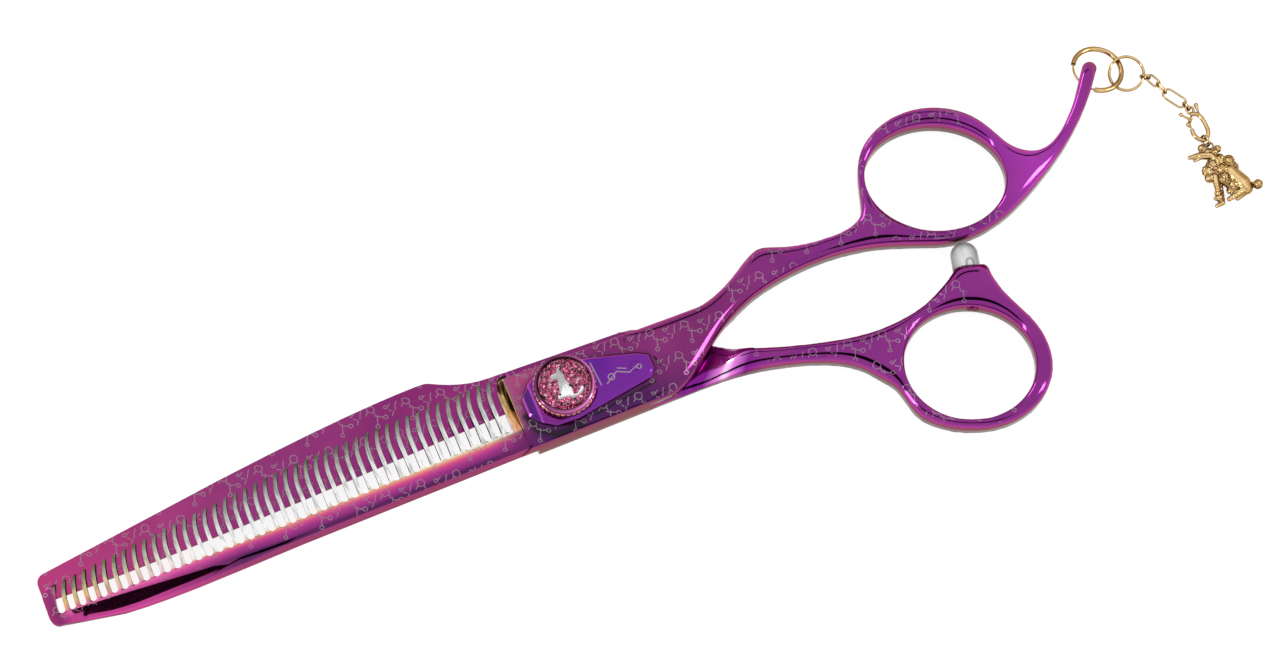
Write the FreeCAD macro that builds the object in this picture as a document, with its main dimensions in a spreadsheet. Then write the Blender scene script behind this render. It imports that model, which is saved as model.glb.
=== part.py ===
# Pet-grooming thinning shears: a comb blade half over a plain blade half, an adjustable pivot,
# a silicone bumper and a charm on a small chain.
#
# Frame: the origin is on the pivot axis, on the ride plane where the halves meet. +Z is the front
# (dial) side, -X is the blade tip, +X the handles and +Y the finger-hole side. Millimetres.
import FreeCAD
import Part
import Sketcher
import math
import os
from FreeCAD import Placement, Rotation, Vector

doc = FreeCAD.newDocument("thinning_shears")

# ---------------------------------------------------------------- driving dimensions
DIMENSIONS = [
    # alias, value, meaning
    ("half_thickness", 3.0, "one half at the pivot, from the ride plane to its outer face"),
    ("handle_rise", 2.6, "handles, from the ride plane to either face"),
    ("hole_rounding", 0.6, "edges of the finger and thumb holes"),
    ("ride_clearance", 0.02, "each half stands this far off the ride plane"),
    ("body_left", -9.0, "heel end of the pivot body"),
    ("spine_side", -7.1, "straight lower side of both pivot bodies"),
    ("gap_count", 44, "gaps in the comb"),
    ("gap_pitch", 1.858, "from gap to gap"),
    ("gap_width", 1.15, "across one gap"),
    ("first_gap", -91.1, "centre of the gap nearest the tip"),
    ("tooth_bend_radius", 10.5, "the teeth lean toward the pivot on this radius"),
    ("tooth_face_tip", 0.5, "thickness left at the tooth tips"),
    ("shank_radius", 2.5, "pivot screw shank"),
    ("flat_offset", 2.0, "each of the two flats on the shank, from the axis"),
    ("thread_radius", 2.0, "threaded end of the pivot screw"),
    ("thread_top", 5.9, "end of the thread"),
    ("head_radius", 4.0, "pivot screw head"),
    ("head_height", 1.3, "pivot screw head"),
    ("head_recess", 0.1, "head below the back face"),
    ("drive_width", 1.0, "slot in the head"),
    ("drive_depth", 0.6, "slot in the head"),
    ("running_clearance", 0.05, "radial play of everything that turns on the pivot"),
    ("bush_radius", 3.4, "outside of the pivot bush"),
    ("washer_radius", 4.6, "friction washer between the halves"),
    ("washer_height", 0.3, "friction washer"),
    ("plate_height", 1.0, "tension plate above the front face"),
    ("plate_bevel", 0.5, "bevel round the tension plate"),
    ("pin_radius", 0.8, "pin that keeps the tension plate from turning"),
    ("pin_place", 12.5, "pin from the pivot axis"),
    ("spring_radius", 4.0, "disc spring, outside"),
    ("spring_height", 0.35, "disc spring, coned height"),
    ("spring_stock", 0.2, "disc spring, sheet"),
    ("thrust_radius", 4.2, "thrust washer, outside"),
    ("thrust_height", 0.3, "thrust washer"),
    ("thrust_gap", 0.1, "travel left over the disc spring"),
    ("knob_radius", 5.35, "over the knurl"),
    ("knob_top", 6.7, "top of the knurled part"),
    ("knurl_count", 36, "grooves round the dial"),
    ("knurl_depth", 0.25, "one groove"),
    ("bezel_radius", 5.15, "bright rim on the dial"),
    ("bezel_bore", 4.45, "window in the rim"),
    ("bezel_height", 0.9, "rim"),
    ("disc_height", 0.25, "glitter disc"),
    ("inlay_height", 0.12, "dog inlay on the glitter disc"),
    ("inlay_turn", -22.5, "turn of the dog inlay from the line of the blades, in degrees"),
    ("lens_rise", 0.75, "crown of the clear lens"),
    ("bumper_radius", 2.4, "silicone bumper head"),
    ("bumper_height", 4.75, "silicone bumper head"),
    ("bumper_stem", 0.95, "stem of the bumper, radius"),
    ("bumper_stem_length", 5.2, "stem of the bumper"),
    ("hoop_radius", 4.3, "gold hoop, to the middle of its tube"),
    ("hoop_tube", 0.45, "thick part of the hoop, radius"),
    ("hoop_wire", 0.19, "thin part of the hoop, radius"),
    ("tang_hole", 0.6, "hole through the finger rest for the hoop, radius"),
    ("split_radius", 3.0, "split ring, to the middle of its wire"),
    ("split_wire", 0.22, "split ring wire, radius"),
    ("link_wire", 0.2, "chain link wire, radius"),
    ("link_play", 0.06, "slack between two links hanging in each other"),
    ("chain_level", -1.5, "height of the chain when the shears rest on a table"),
    ("clasp_tube", 0.38, "hook of the clasp, radius"),
    ("clasp_eye", 0.6, "eye of the clasp, to the middle of its wire"),
    ("clasp_pin", 0.15, "pin of the clasp's gate, radius"),
    ("charm_loop", 0.6, "loop on the charm, to the middle of its wire"),
    ("charm_wire", 0.18, "loop on the charm, wire radius"),
    ("charm_thickness", 2.6, "the charm, front to back"),
]

sheet = doc.addObject("Spreadsheet::Sheet", "Dimensions")
for row, (alias, value, meaning) in enumerate(DIMENSIONS, start=1):
    sheet.set(f"A{row}", alias)
    sheet.set(f"B{row}", str(value))
    sheet.set(f"C{row}", meaning)
    sheet.setAlias(f"B{row}", alias)
doc.recompute()


def size(alias):
    return float(sheet.get(alias))


# ---------------------------------------------------------------- shared helpers
def smooth(points, start=None, finish=None):
    """One smooth edge through plan points; start and finish are its directions at the ends."""
    places = [Vector(x, y, 0) for x, y in points]
    lengths = [0.0]
    for before, after in zip(places, places[1:]):
        lengths.append(lengths[-1] + (after - before).Length)
    curve = Part.BSplineCurve()
    if start is None:
        curve.interpolate(Points=places, Parameters=lengths)
    else:
        first = Vector(*start, 0).normalize()
        last = Vector(*finish, 0).normalize()
        curve.interpolate(Points=places, Parameters=lengths, InitialTangent=first,
                          FinalTangent=last, Scale=False)
    return curve.toShape()


def line(start, finish):
    return Part.makeLine(Vector(*start, 0), Vector(*finish, 0))


def arc(start, middle, finish):
    return Part.Arc(Vector(*start, 0), Vector(*middle, 0), Vector(*finish, 0)).toShape()


def tilted_ellipse(centre, major, minor, tilt, angle):
    """A plan point of an ellipse whose major axis is turned by tilt degrees."""
    along = major * math.cos(math.radians(angle))
    across = minor * math.sin(math.radians(angle))
    turn = math.radians(tilt)
    return (centre[0] + along * math.cos(turn) - across * math.sin(turn),
            centre[1] + along * math.sin(turn) + across * math.cos(turn))


def ellipse_wire(centre, major, minor, tilt):
    edge = Part.Ellipse(Vector(*centre, 0), major, minor).toShape()
    edge.rotate(Vector(*centre, 0), Vector(0, 0, 1), tilt)
    return Part.Wire([edge])


def prism(wires, low, high):
    """The plan outline wires[0], less the openings wires[1:], from height low to high."""
    face = Part.Face(wires, "Part::FaceMakerBullseye")
    solid = face.extrude(Vector(0, 0, high - low))
    solid.translate(Vector(0, 0, low))
    return solid


def between(stations, column, x):
    """Reads one column of a station list at x, straight between the stations."""
    for before, after in zip(stations, stations[1:]):
        if x <= after[0]:
            share = (x - before[0]) / (after[0] - before[0])
            return before[column] + share * (after[column] - before[column])
    return stations[-1][column]


def section(x, points, crown=None):
    """A closed cross-section in the plane of x; crown bows the edge between points 2 and 3."""
    places = [Vector(x, y, z) for y, z in points]
    edges = []
    for number, place in enumerate(places):
        following = places[(number + 1) % len(places)]
        if crown and number == 2:
            middle = (place + following) * 0.5 + Vector(0, 0, crown)
            edges.append(Part.Arc(place, middle, following).toShape())
        else:
            edges.append(Part.makeLine(place, following))
    return Part.Wire(edges)


def node(label, shape):
    """A sub-part whose shape is set directly."""
    part = doc.addObject("Part::Feature", label)
    part.Label = label
    part.Shape = shape
    return part


# ---------------------------------------------------------------- the two halves
HOLE_TILT = -25.0
FINGER_HOLE = ((73.4, 11.7), 12.2, 9.85)
THUMB_HOLE = ((65.35, -21.1), 11.2, 10.2)
FINGER_RING = ((73.5, 11.8), 13.6, 12.5)
THUMB_RING = ((65.4, -21.2), 13.9, 11.4)

# Where the bumper sits on its boss, and where the hoop passes through the finger rest.
BUMPER_SEAT = Vector(71.9, -5.2, 0)
BUMPER_AXIS = Vector(0.25, 0.968, 0).normalize()
TANG_HOLE = Vector(104.6, 17.7, 0)
TANG_AXIS = Vector(0.545, -0.84, 0).normalize()

# x, outer side, shoulder y and z, ridge y and z, tooth root y and z, tooth tip
COMB_STATIONS = [
    (-93.5, -4.9, -4.4, 1.0, -3.6, 1.95, -3.35, 1.9, 1.8),
    (-79.25, -7.2, -7.0, 1.45, -4.35, 2.35, -3.58, 2.2, 3.65),
    (-65.0, -7.45, -7.05, 2.1, -5.65, 2.6, -3.7, 2.3, 5.0),
    (-50.75, -7.2, -6.78, 2.5, -6.3, 2.8, -3.72, 2.38, 6.05),
    (-36.5, -7.15, -6.8, 2.62, -6.4, 2.88, -3.62, 2.42, 6.65),
    (-22.25, -7.1, -6.82, 2.68, -6.44, 2.93, -3.3, 2.46, 7.05),
    (-8.0, -7.1, -6.85, 2.7, -6.5, 2.96, -2.8, 2.5, 7.25),
]
ROOT_COLUMN, TIP_COLUMN = 6, 8

# x, cutting edge, bevel ridge y, outer ridge y, depth of the ridges
PLAIN_STATIONS = [
    (-93.6, -0.1, 1.9, 3.2, 1.5),
    (-72.2, -0.45, 3.2, 5.6, 2.25),
    (-50.8, -0.1, 4.2, 7.8, 2.6),
    (-29.4, 0.55, 4.8, 9.1, 2.85),
    (-8.0, 1.1, 4.9, 9.2, 2.97),
]


def finger_outline():
    """Plan outline of the front lever: pivot body, shank, finger ring and finger rest."""
    heel = size("body_left") - 1.6
    spine = size("spine_side")
    ring = [tilted_ellipse(*FINGER_RING, HOLE_TILT, angle) for angle in range(165, 39, -25)]
    upper = [(26, 5.35), (30, 6.2), (34, 8.1), (37.8, 10.4), (40.2, 11.15), (42.8, 10.4),
             (47, 9.1), (52, 8.5), (56.3, 8.8), (58.7, 10.1), (59.7, 12.0)]
    rest = [(87.3, 12.6), (89.3, 10.4), (92, 9.3), (95, 10.0), (98, 12.1), (101.5, 15.7),
            (104.9, 20.2)]
    lower = [(107.3, 19.3), (104.4, 15.7), (101, 12.3), (96, 8.3), (90, 4.65), (84, 1.7),
             (78, 0.05), (72, 0.05), (66, 2.0), (60, 4.2), (54, 5.5), (48, 5.8), (42, 5.3),
             (36, 3.9), (30, 1.1), (24, -3.2), (19.5, -6.2), (16.0, spine)]
    edges = [
        line((heel, 6.2), upper[0]),
        smooth(upper + ring + rest, start=(35.0, -0.85), finish=(3.4, 4.5)),
        arc(rest[-1], (106.55, 20.85), lower[0]),
        smooth(lower, start=(-2.9, -3.6), finish=(-1, 0)),
        line(lower[-1], (heel, spine)),
        line((heel, spine), (heel, 6.2)),
    ]
    return Part.Wire(edges)


def thumb_outline():
    """Plan outline of the back lever: pivot body, shank, thumb ring and bumper boss."""
    spine = size("spine_side")
    ring = [tilted_ellipse(*THUMB_RING, HOLE_TILT, angle) for angle in range(20, -161, -30)]
    upper = [(13.5, 7.0), (16.8, 5.9), (20.5, 3.3), (26, -0.7), (30.5, -3.8), (35, -5.7),
             (40.1, -7.35), (46.1, -8.9), (52, -9.85), (58.1, -9.7), (63.0, -8.6),
             (66.2, -7.15), (69.4, -5.15)]
    side = [(75.1, -7.2), (75.15, -8.9), (75.6, -11.2), (76.7, -14.2), (78.0, -17.4)]
    lower = [(50.7, -17.6), (48.9, -15.2), (46.1, -12.85), (42.1, -10.85), (37, -9.2),
             (31, -7.8), (25, -7.2), (19.0, spine)]
    boss_left = (70.2, -4.76)
    boss_right = (74.3, -5.82)
    edges = [
        line((-9.8, 7.95), upper[0]),
        smooth(upper, start=(23.3, -0.95), finish=(1, 0.8)),
        line(upper[-1], boss_left),
        line(boss_left, boss_right),
        arc(boss_right, (74.95, -6.35), side[0]),
        smooth(side + ring + lower, start=(0.1, -1), finish=(-1, 0)),
        line(lower[-1], (-7.6, spine)),
        smooth([(-7.6, spine), (-8.6, -3.0), (-10.2, 1.2)]),
        line((-10.2, 1.2), (-9.8, 7.95)),
    ]
    return Part.Wire(edges)


def ramp_cutter(corner, direction, side, start, run, rise):
    """Everything beyond a ramp that runs across a lever.

    The other half's edge passes through corner, and direction is the plan angle away from it. The
    ramp starts at distance start from that edge and climbs by rise over run. side is +1 to clear
    the space above the ramp and -1 to clear the space below it.
    """
    reach = 120.0
    gap = size("ride_clearance")
    base = -gap * side
    foot = Vector(start, 0, base)
    head = Vector(start + run, 0, rise * side)
    bend = Part.BezierCurve()
    bend.setPoles([foot, foot + Vector(run * 0.5, 0, 0), head - Vector(run * 0.5, 0, 0), head])
    far = [head, Vector(head.x, 0, 20 * side), Vector(-reach, 0, 20 * side),
           Vector(-reach, 0, base), foot]
    wire = Part.Wire([bend.toShape(), Part.makePolygon(far)])
    solid = Part.Face(wire).extrude(Vector(0, 2 * reach, 0))
    solid.translate(Vector(0, -reach, 0))
    solid.rotate(Vector(0, 0, 0), Vector(0, 0, 1), direction)
    solid.translate(Vector(*corner, 0))
    return solid


def thinning_cutter(side):
    """Takes the outer face down from the pivot body to the thinner handle."""
    low = size("handle_rise") * side
    high = size("half_thickness") * side
    begin, finish, reach = 24.0, 44.0, 130.0
    blend = Part.BezierCurve()
    blend.setPoles([Vector(begin, 0, high), Vector((begin + finish) / 2, 0, high),
                    Vector((begin + finish) / 2, 0, low), Vector(finish, 0, low)])
    outside = [Vector(finish, 0, low), Vector(reach, 0, low), Vector(reach, 0, high + side),
               Vector(begin, 0, high + side), Vector(begin, 0, high)]
    wire = Part.Wire([blend.toShape(), Part.makePolygon(outside)])
    solid = Part.Face(wire).extrude(Vector(0, 2 * reach, 0))
    solid.translate(Vector(0, -reach, 0))
    return solid


def lever(outline, hole, side):
    """One lever, solid from its outer face through the ride plane to the far face of its handle."""
    outer = size("half_thickness") * side
    inner = -size("handle_rise") * side
    blank = prism([outline, hole], min(outer, inner), max(outer, inner))
    blank = blank.cut(thinning_cutter(side))
    rims = [edge for edge in blank.Edges
            if isinstance(edge.Curve, Part.Ellipse) and edge.BoundBox.ZLength < 0.01]
    return blank.makeFillet(size("hole_rounding"), rims)


def comb_blade():
    """The toothed blade without its gaps: a loft through cross-sections."""
    base = size("ride_clearance")
    face_tip = size("tooth_face_tip")
    wires = []
    for x, outer, shoulder, shoulder_z, ridge, ridge_z, root, root_z, tip in COMB_STATIONS:
        points = [(outer, base), (shoulder, shoulder_z), (ridge, ridge_z), (root, root_z),
                  (tip, face_tip), (tip, base)]
        wires.append(section(x, points, crown=0.06))
    return Part.makeLoft(wires, True, False)


def comb_gap(x):
    """The space of one gap: a round root, straight sides, then a lean toward the pivot."""
    half = size("gap_width") / 2
    radius = size("tooth_bend_radius")
    root = between(COMB_STATIONS, ROOT_COLUMN, x) + half
    bend = between(COMB_STATIONS, TIP_COLUMN, x) - 4.6

    def leaning(offset, angle):
        turn = math.radians(angle)
        return (x + radius - (radius - offset) * math.cos(turn),
                bend + (radius - offset) * math.sin(turn))

    left = [leaning(-half, angle) for angle in (0, 20, 40)]
    right = [leaning(half, angle) for angle in (0, 20, 40)]
    edges = [
        arc((x + half, root), (x, root - half), (x - half, root)),
        line((x - half, root), left[0]),
        arc(*left),
        line(left[-1], right[-1]),
        arc(*reversed(right)),
        line(right[0], (x + half, root)),
    ]
    return prism([Part.Wire(edges)], -1, 4)


def heel_cutter():
    """The hollow that runs from the ground teeth up to the front face of the pivot body."""
    end = size("body_left")
    top = size("half_thickness")
    low = size("tooth_face_tip")
    curve = Part.Arc(Vector(end, 0, top), Vector(end - 0.75, 0, low + 1.1),
                     Vector(end - 1.6, 0, low + 0.25)).toShape()
    outside = [Vector(end - 1.6, 0, low + 0.25), Vector(end - 3, 0, low + 0.25),
               Vector(end - 3, 0, top + 1), Vector(end, 0, top + 1), Vector(end, 0, top)]
    solid = Part.Face(Part.Wire([curve, Part.makePolygon(outside)])).extrude(Vector(0, 20, 0))
    solid.translate(Vector(0, -10, 0))
    return solid


def flatted_shank(play, low, high):
    """The pivot screw's two-flat shank, larger by play, between two heights."""
    radius = size("shank_radius") + play
    flat = size("flat_offset") + play
    shank = Part.makeCylinder(radius, high - low, Vector(0, 0, low))
    slab = Part.makeBox(2 * radius, 2 * flat, high - low, Vector(-radius, -flat, low))
    return shank.common(slab)


def rounded_tip(low, high):
    """Plan limits of both blade tips: square with rounded corners."""
    left, corner = -93.5, 1.6
    edges = [
        line((left, low + corner), (left, high - corner)),
        arc((left, high - corner), (left + 0.3 * corner, high - 0.3 * corner),
            (left + corner, high)),
        line((left + corner, high), (0, high + 9)),
        line((0, high + 9), (0, low - 18)),
        line((0, low - 18), (left + corner, low)),
        arc((left + corner, low), (left + 0.3 * corner, low + 0.3 * corner),
            (left, low + corner)),
    ]
    return prism([Part.Wire(edges)], -5, 5)


def comb_half():
    top = size("half_thickness")
    body = lever(finger_outline(), ellipse_wire(*FINGER_HOLE, HOLE_TILT), 1)
    body = body.cut(ramp_cutter((16.0, 6.4), 54.8, -1, 0.8, 7.0, size("handle_rise")))
    body = body.cut(heel_cutter())
    blade = comb_blade().common(rounded_tip(-5.0, 2.0))
    half = body.fuse(blade)
    gaps = [comb_gap(size("first_gap") + number * size("gap_pitch"))
            for number in range(int(size("gap_count")))]
    half = half.cut(Part.Compound(gaps))
    half = half.cut(flatted_shank(0.03, -1, top + 1))
    pin = Part.makeCylinder(size("pin_radius") + 0.02, 2.0, Vector(size("pin_place"), -0.6, top - 2))
    half = half.cut(pin)
    hole = Part.makeCylinder(size("tang_hole"), 8, TANG_HOLE - TANG_AXIS * 4, TANG_AXIS)
    return half.cut(hole)


def plain_blade():
    """The plain blade: a hollow-backed section lofted from tip to heel, trimmed to its plan."""
    base = -size("ride_clearance")
    edge_land = -0.35
    wires = []
    for x, edge, bevel, ridge, depth in PLAIN_STATIONS:
        points = [(edge, base), (edge, edge_land), (bevel, -depth), (ridge, -depth),
                  (ridge + 4.5, -0.5 * depth), (ridge + 4.5, base)]
        wires.append(section(x, points))
    loft = Part.makeLoft(wires, True, False)
    top = [(-91.8, 4.75), (-84, 5.75), (-76, 6.7), (-60, 8.6), (-44, 10.2), (-32, 11.05),
           (-24, 11.3), (-21.6, 11.25)]
    shoulder = [(-20.2, 10.8), (-17, 9.3), (-13.5, 8.3), (-8, 7.9)]
    edges = [
        line((-93.5, -2), (-93.5, 3.1)),
        arc((-93.5, 3.1), (-93.0, 4.25), top[0]),
        smooth(top, start=(8, 1), finish=(1, -0.08)),
        arc(top[-1], (-20.85, 11.1), shoulder[0]),
        smooth(shoulder, start=(1.2, -0.65), finish=(1, -0.03)),
        line(shoulder[-1], (-8, -2)),
        line((-8, -2), (-93.5, -2)),
    ]
    return loft.common(prism([Part.Wire(edges)], -5, 1))


def plain_half():
    bottom = -size("half_thickness")
    play = size("running_clearance")
    body = lever(thumb_outline(), ellipse_wire(*THUMB_HOLE, HOLE_TILT), -1)
    body = body.cut(ramp_cutter((17.0, -7.0), -59.7, 1, 0.6, 6.5, size("handle_rise")))
    half = body.fuse(plain_blade())
    half = half.cut(Part.makeCylinder(size("bush_radius"), 10, Vector(0, 0, -5)))
    head_seat = size("head_recess") + size("head_height") + play
    half = half.cut(Part.makeCylinder(size("head_radius") + 0.3, head_seat, Vector(0, 0, bottom)))
    washer = Part.makeCylinder(size("washer_radius") + play, 1, Vector(0, 0, -size("washer_height")))
    half = half.cut(washer)
    stem_reach = size("bumper_stem_length") + 3
    stem = Part.makeCylinder(size("bumper_stem"), stem_reach, BUMPER_SEAT, -BUMPER_AXIS)
    return half.cut(stem)


node("comb_blade_half", comb_half())
node("solid_blade_half", plain_half())


# ---------------------------------------------------------------- turned parts
def origin_plane(body, role):
    return next(plane for plane in body.Origin.OriginFeatures if plane.Role == role)


def value_of(expression):
    return float(sheet.evalExpression(expression))


def polygon_sketch(body, name, role, corners):
    """A closed polygon on an origin plane; each corner is a pair of sheet expressions."""
    sketch = body.newObject("Sketcher::SketchObject", name)
    sketch.AttachmentSupport = [(origin_plane(body, role), "")]
    sketch.MapMode = "FlatFace"
    places = [Vector(value_of(across), value_of(along), 0) for across, along in corners]
    count = len(places)
    for number in range(count):
        sketch.addGeometry(Part.LineSegment(places[number], places[(number + 1) % count]))
    for number in range(count):
        following = (number + 1) % count
        sketch.addConstraint(Sketcher.Constraint("Coincident", number, 2, following, 1))
    for number, pair in enumerate(corners):
        for kind, expression in zip(("DistanceX", "DistanceY"), pair):
            fixed = Sketcher.Constraint(kind, -1, 1, number, 1, value_of(expression))
            place = sketch.addConstraint(fixed)
            sketch.setExpression(f"Constraints[{place}]", expression)
    return sketch


def new_body(label):
    body = doc.addObject("PartDesign::Body", label)
    body.Label = label
    return body


def turned(label, corners):
    """A body of revolution round Z; corners are radius and height expressions."""
    body = new_body(label)
    sketch = polygon_sketch(body, label + "_profile", "XZ_Plane", corners)
    turn = body.newObject("PartDesign::Revolution", label + "_turn")
    turn.Profile = sketch
    turn.ReferenceAxis = (sketch, ["V_Axis"])
    turn.Angle = 360
    body.Tip = turn
    return body


def cut_through(body, name, role, corners):
    """A pocket both ways from an origin plane, right through the body."""
    before = body.Tip.Shape.Volume
    sketch = polygon_sketch(body, name + "_outline", role, corners)
    pocket = body.newObject("PartDesign::Pocket", name)
    pocket.Profile = sketch
    pocket.Midplane = True
    pocket.Length = 60
    body.Tip = pocket
    doc.recompute()
    if not body.Tip.Shape.Volume < before:
        raise ValueError(f"{name} removes nothing")
    return pocket


def washer(label, bore, radius, low, high):
    return turned(label, [(bore, low), (radius, low), (radius, high), (bore, high)])


D = "Dimensions."
FRONT = D + "half_thickness"
BACK = "-" + D + "half_thickness"
PLATE_TOP = f"{FRONT} + {D}plate_height"
SPRING_TOP = f"{PLATE_TOP} + {D}spring_height"
THRUST_LOW = f"{SPRING_TOP} + {D}thrust_gap"
THRUST_TOP = f"{THRUST_LOW} + {D}thrust_height"
SHANK = D + "shank_radius"
SHANK_BORE = f"{SHANK} + {D}running_clearance"
THREAD = D + "thread_radius"
THREAD_BORE = f"{THREAD} + {D}running_clearance"
KNOB_TOP = D + "knob_top"
DISC_TOP = f"{KNOB_TOP} + {D}disc_height"
INLAY_TOP = f"{DISC_TOP} + {D}inlay_height"
BEZEL_TOP = f"{KNOB_TOP} + {D}bezel_height"
WINDOW = f"{D}bezel_bore - 0.03"


def pivot_screw():
    low = f"{BACK} + {D}head_recess"
    neck = f"{low} + {D}head_height"
    head = D + "head_radius"
    screw = turned("pivot_screw", [
        ("0", low), (f"{head} - 0.3", low), (head, f"{low} + 0.3"), (head, neck), (SHANK, neck),
        (SHANK, PLATE_TOP), (THREAD, PLATE_TOP), (THREAD, f"{D}thread_top - 0.4"),
        (f"{THREAD} - 0.4", D + "thread_top"), ("0", D + "thread_top")])
    doc.recompute()
    half_slot = f"{D}drive_width / 2"
    slot_top = f"{low} + {D}drive_depth"
    cut_through(screw, "drive_slot", "XZ_Plane", [
        (f"-{half_slot}", f"{low} - 1"), (half_slot, f"{low} - 1"),
        (half_slot, slot_top), (f"-{half_slot}", slot_top)])
    for name, side in (("upper_flat", ""), ("lower_flat", "-")):
        inner = f"{side}{D}flat_offset"
        outer = f"{side}({SHANK} + 1)"
        cut_through(screw, name, "YZ_Plane", [
            (inner, D + "ride_clearance"), (outer, D + "ride_clearance"),
            (outer, PLATE_TOP), (inner, PLATE_TOP)])


def pivot_bush():
    seat = f"{BACK} + {D}head_recess + {D}head_height + {D}running_clearance"
    washer("pivot_bush", SHANK_BORE, f"{D}bush_radius - 0.01", f"{seat} + 0.01",
           f"-{D}washer_height - 0.01")


def friction_washer():
    washer("friction_washer", SHANK_BORE, D + "washer_radius", f"-{D}washer_height + 0.01", "0.005")


def tension_plate():
    """A tapered tongue with a bevelled rim, held by the screw and kept straight by a pin."""
    body = new_body("tension_plate")
    outline = [("-7.3", "1.3"), ("-5.4", "3.7"), ("-2.5", "4.9"), ("1.5", "4.9"), ("6.0", "3.9"),
               ("13.6", "1.7"), ("15.6", "0.6"), ("15.6", "-2.1"), ("14.4", "-3.35"),
               ("6.0", "-4.6"), ("0.5", "-5.4"), ("-3.5", "-5.2"), ("-6.2", "-3.4"),
               ("-7.3", "-1.9")]
    sketch = polygon_sketch(body, "plate_outline", "XY_Plane", outline)
    sketch.AttachmentOffset = Placement(Vector(0, 0, size("half_thickness")), Rotation())
    sketch.setExpression("AttachmentOffset.Base.z", FRONT)
    pad = body.newObject("PartDesign::Pad", "plate_pad")
    pad.Profile = sketch
    pad.setExpression("Length", D + "plate_height")
    body.Tip = pad
    doc.recompute()
    top = size("half_thickness") + size("plate_height")
    rim = [f"Edge{number + 1}" for number, edge in enumerate(pad.Shape.Edges)
           if edge.BoundBox.ZMin > top - 0.01]
    bevel = body.newObject("PartDesign::Chamfer", "plate_bevel")
    bevel.Base = (pad, rim)
    bevel.setExpression("Size", D + "plate_bevel")
    body.Tip = bevel
    doc.recompute()
    bore_and_pin(body)


def bore_and_pin(body):
    """The round bore for the shank, and the pin's seat in the underside of the plate."""
    sketch = body.newObject("Sketcher::SketchObject", "plate_holes")
    sketch.AttachmentSupport = [(origin_plane(body, "XY_Plane"), "")]
    sketch.MapMode = "FlatFace"
    circles = [("0", "0", SHANK_BORE), (D + "pin_place", "-0.6", f"{D}pin_radius + 0.02")]
    for number, (across, along, radius) in enumerate(circles):
        centre = Vector(value_of(across), value_of(along), 0)
        sketch.addGeometry(Part.Circle(centre, Vector(0, 0, 1), value_of(radius)))
        for kind, expression in (("DistanceX", across), ("DistanceY", along)):
            fixed = Sketcher.Constraint(kind, -1, 1, number, 3, value_of(expression))
            place = sketch.addConstraint(fixed)
            sketch.setExpression(f"Constraints[{place}]", expression)
        place = sketch.addConstraint(Sketcher.Constraint("Radius", number, value_of(radius)))
        sketch.setExpression(f"Constraints[{place}]", radius)
    pocket = body.newObject("PartDesign::Pocket", "plate_bores")
    pocket.Profile = sketch
    pocket.Midplane = True
    pocket.Length = 60
    body.Tip = pocket


def cylinder(label, radius, low, high, place=("0", "0")):
    part = doc.addObject("Part::Cylinder", label)
    part.Label = label
    part.setExpression("Radius", radius)
    part.setExpression("Height", f"({high}) - ({low})")
    part.setExpression("Placement.Base.x", place[0])
    part.setExpression("Placement.Base.y", place[1])
    part.setExpression("Placement.Base.z", low)
    return part


def locating_pin():
    cylinder("plate_locating_pin", D + "pin_radius", f"{FRONT} - 1.95", PLATE_TOP,
             (D + "pin_place", "-0.6"))


def disc_spring():
    """A coned disc spring: low at its bore, high at its rim."""
    bore = f"{THREAD} + 0.15"
    rim = D + "spring_radius"
    stock = D + "spring_stock"
    turned("disc_spring", [
        (bore, PLATE_TOP), (rim, f"{SPRING_TOP} - {stock}"), (rim, SPRING_TOP),
        (bore, f"{PLATE_TOP} + {stock}")])


def adjuster_knob():
    """The dial: a hub on the thread, a knurled rim and a flat floor for the disc."""
    base = f"{THRUST_TOP} + 0.02"
    rim = D + "knob_radius"
    hub = f"{rim} - 1.0"
    skirt = f"{base} + 0.35"
    knob = turned("adjuster_knob", [
        (THREAD_BORE, base), (hub, base), (hub, skirt), (f"{rim} - 0.2", skirt),
        (rim, f"{skirt} + 0.2"), (rim, f"{KNOB_TOP} - 0.2"), (f"{rim} - 0.2", KNOB_TOP),
        ("0", KNOB_TOP), ("0", f"{D}thread_top + 0.2"), (THREAD_BORE, f"{D}thread_top + 0.2")])
    doc.recompute()
    floor = f"{rim} - {D}knurl_depth"
    groove = cut_through(knob, "knurl_groove", "XY_Plane", [
        (floor, "0"), (f"{rim} + 0.1", "-0.26"), (f"{rim} + 0.1", "0.26")])
    knurl = knob.newObject("PartDesign::PolarPattern", "knurl")
    knurl.Originals = [groove]
    knurl.Axis = (groove.Profile[0], ["N_Axis"])
    knurl.Angle = 360
    knurl.Occurrences = int(size("knurl_count"))
    knurl.setExpression("Occurrences", D + "knurl_count")
    knob.Tip = knurl


def knob_bezel():
    bore = D + "bezel_bore"
    rim = D + "bezel_radius"
    turned("knob_bezel", [
        (bore, KNOB_TOP), (rim, KNOB_TOP), (rim, f"{BEZEL_TOP} - 0.3"),
        (f"{rim} - 0.2", f"{BEZEL_TOP} - 0.05"), (f"{rim} - 0.4", BEZEL_TOP),
        (f"{bore} + 0.12", BEZEL_TOP), (bore, f"{BEZEL_TOP} - 0.12")])


def glitter_disc():
    cylinder("glitter_disc", WINDOW, KNOB_TOP, DISC_TOP)


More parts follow.
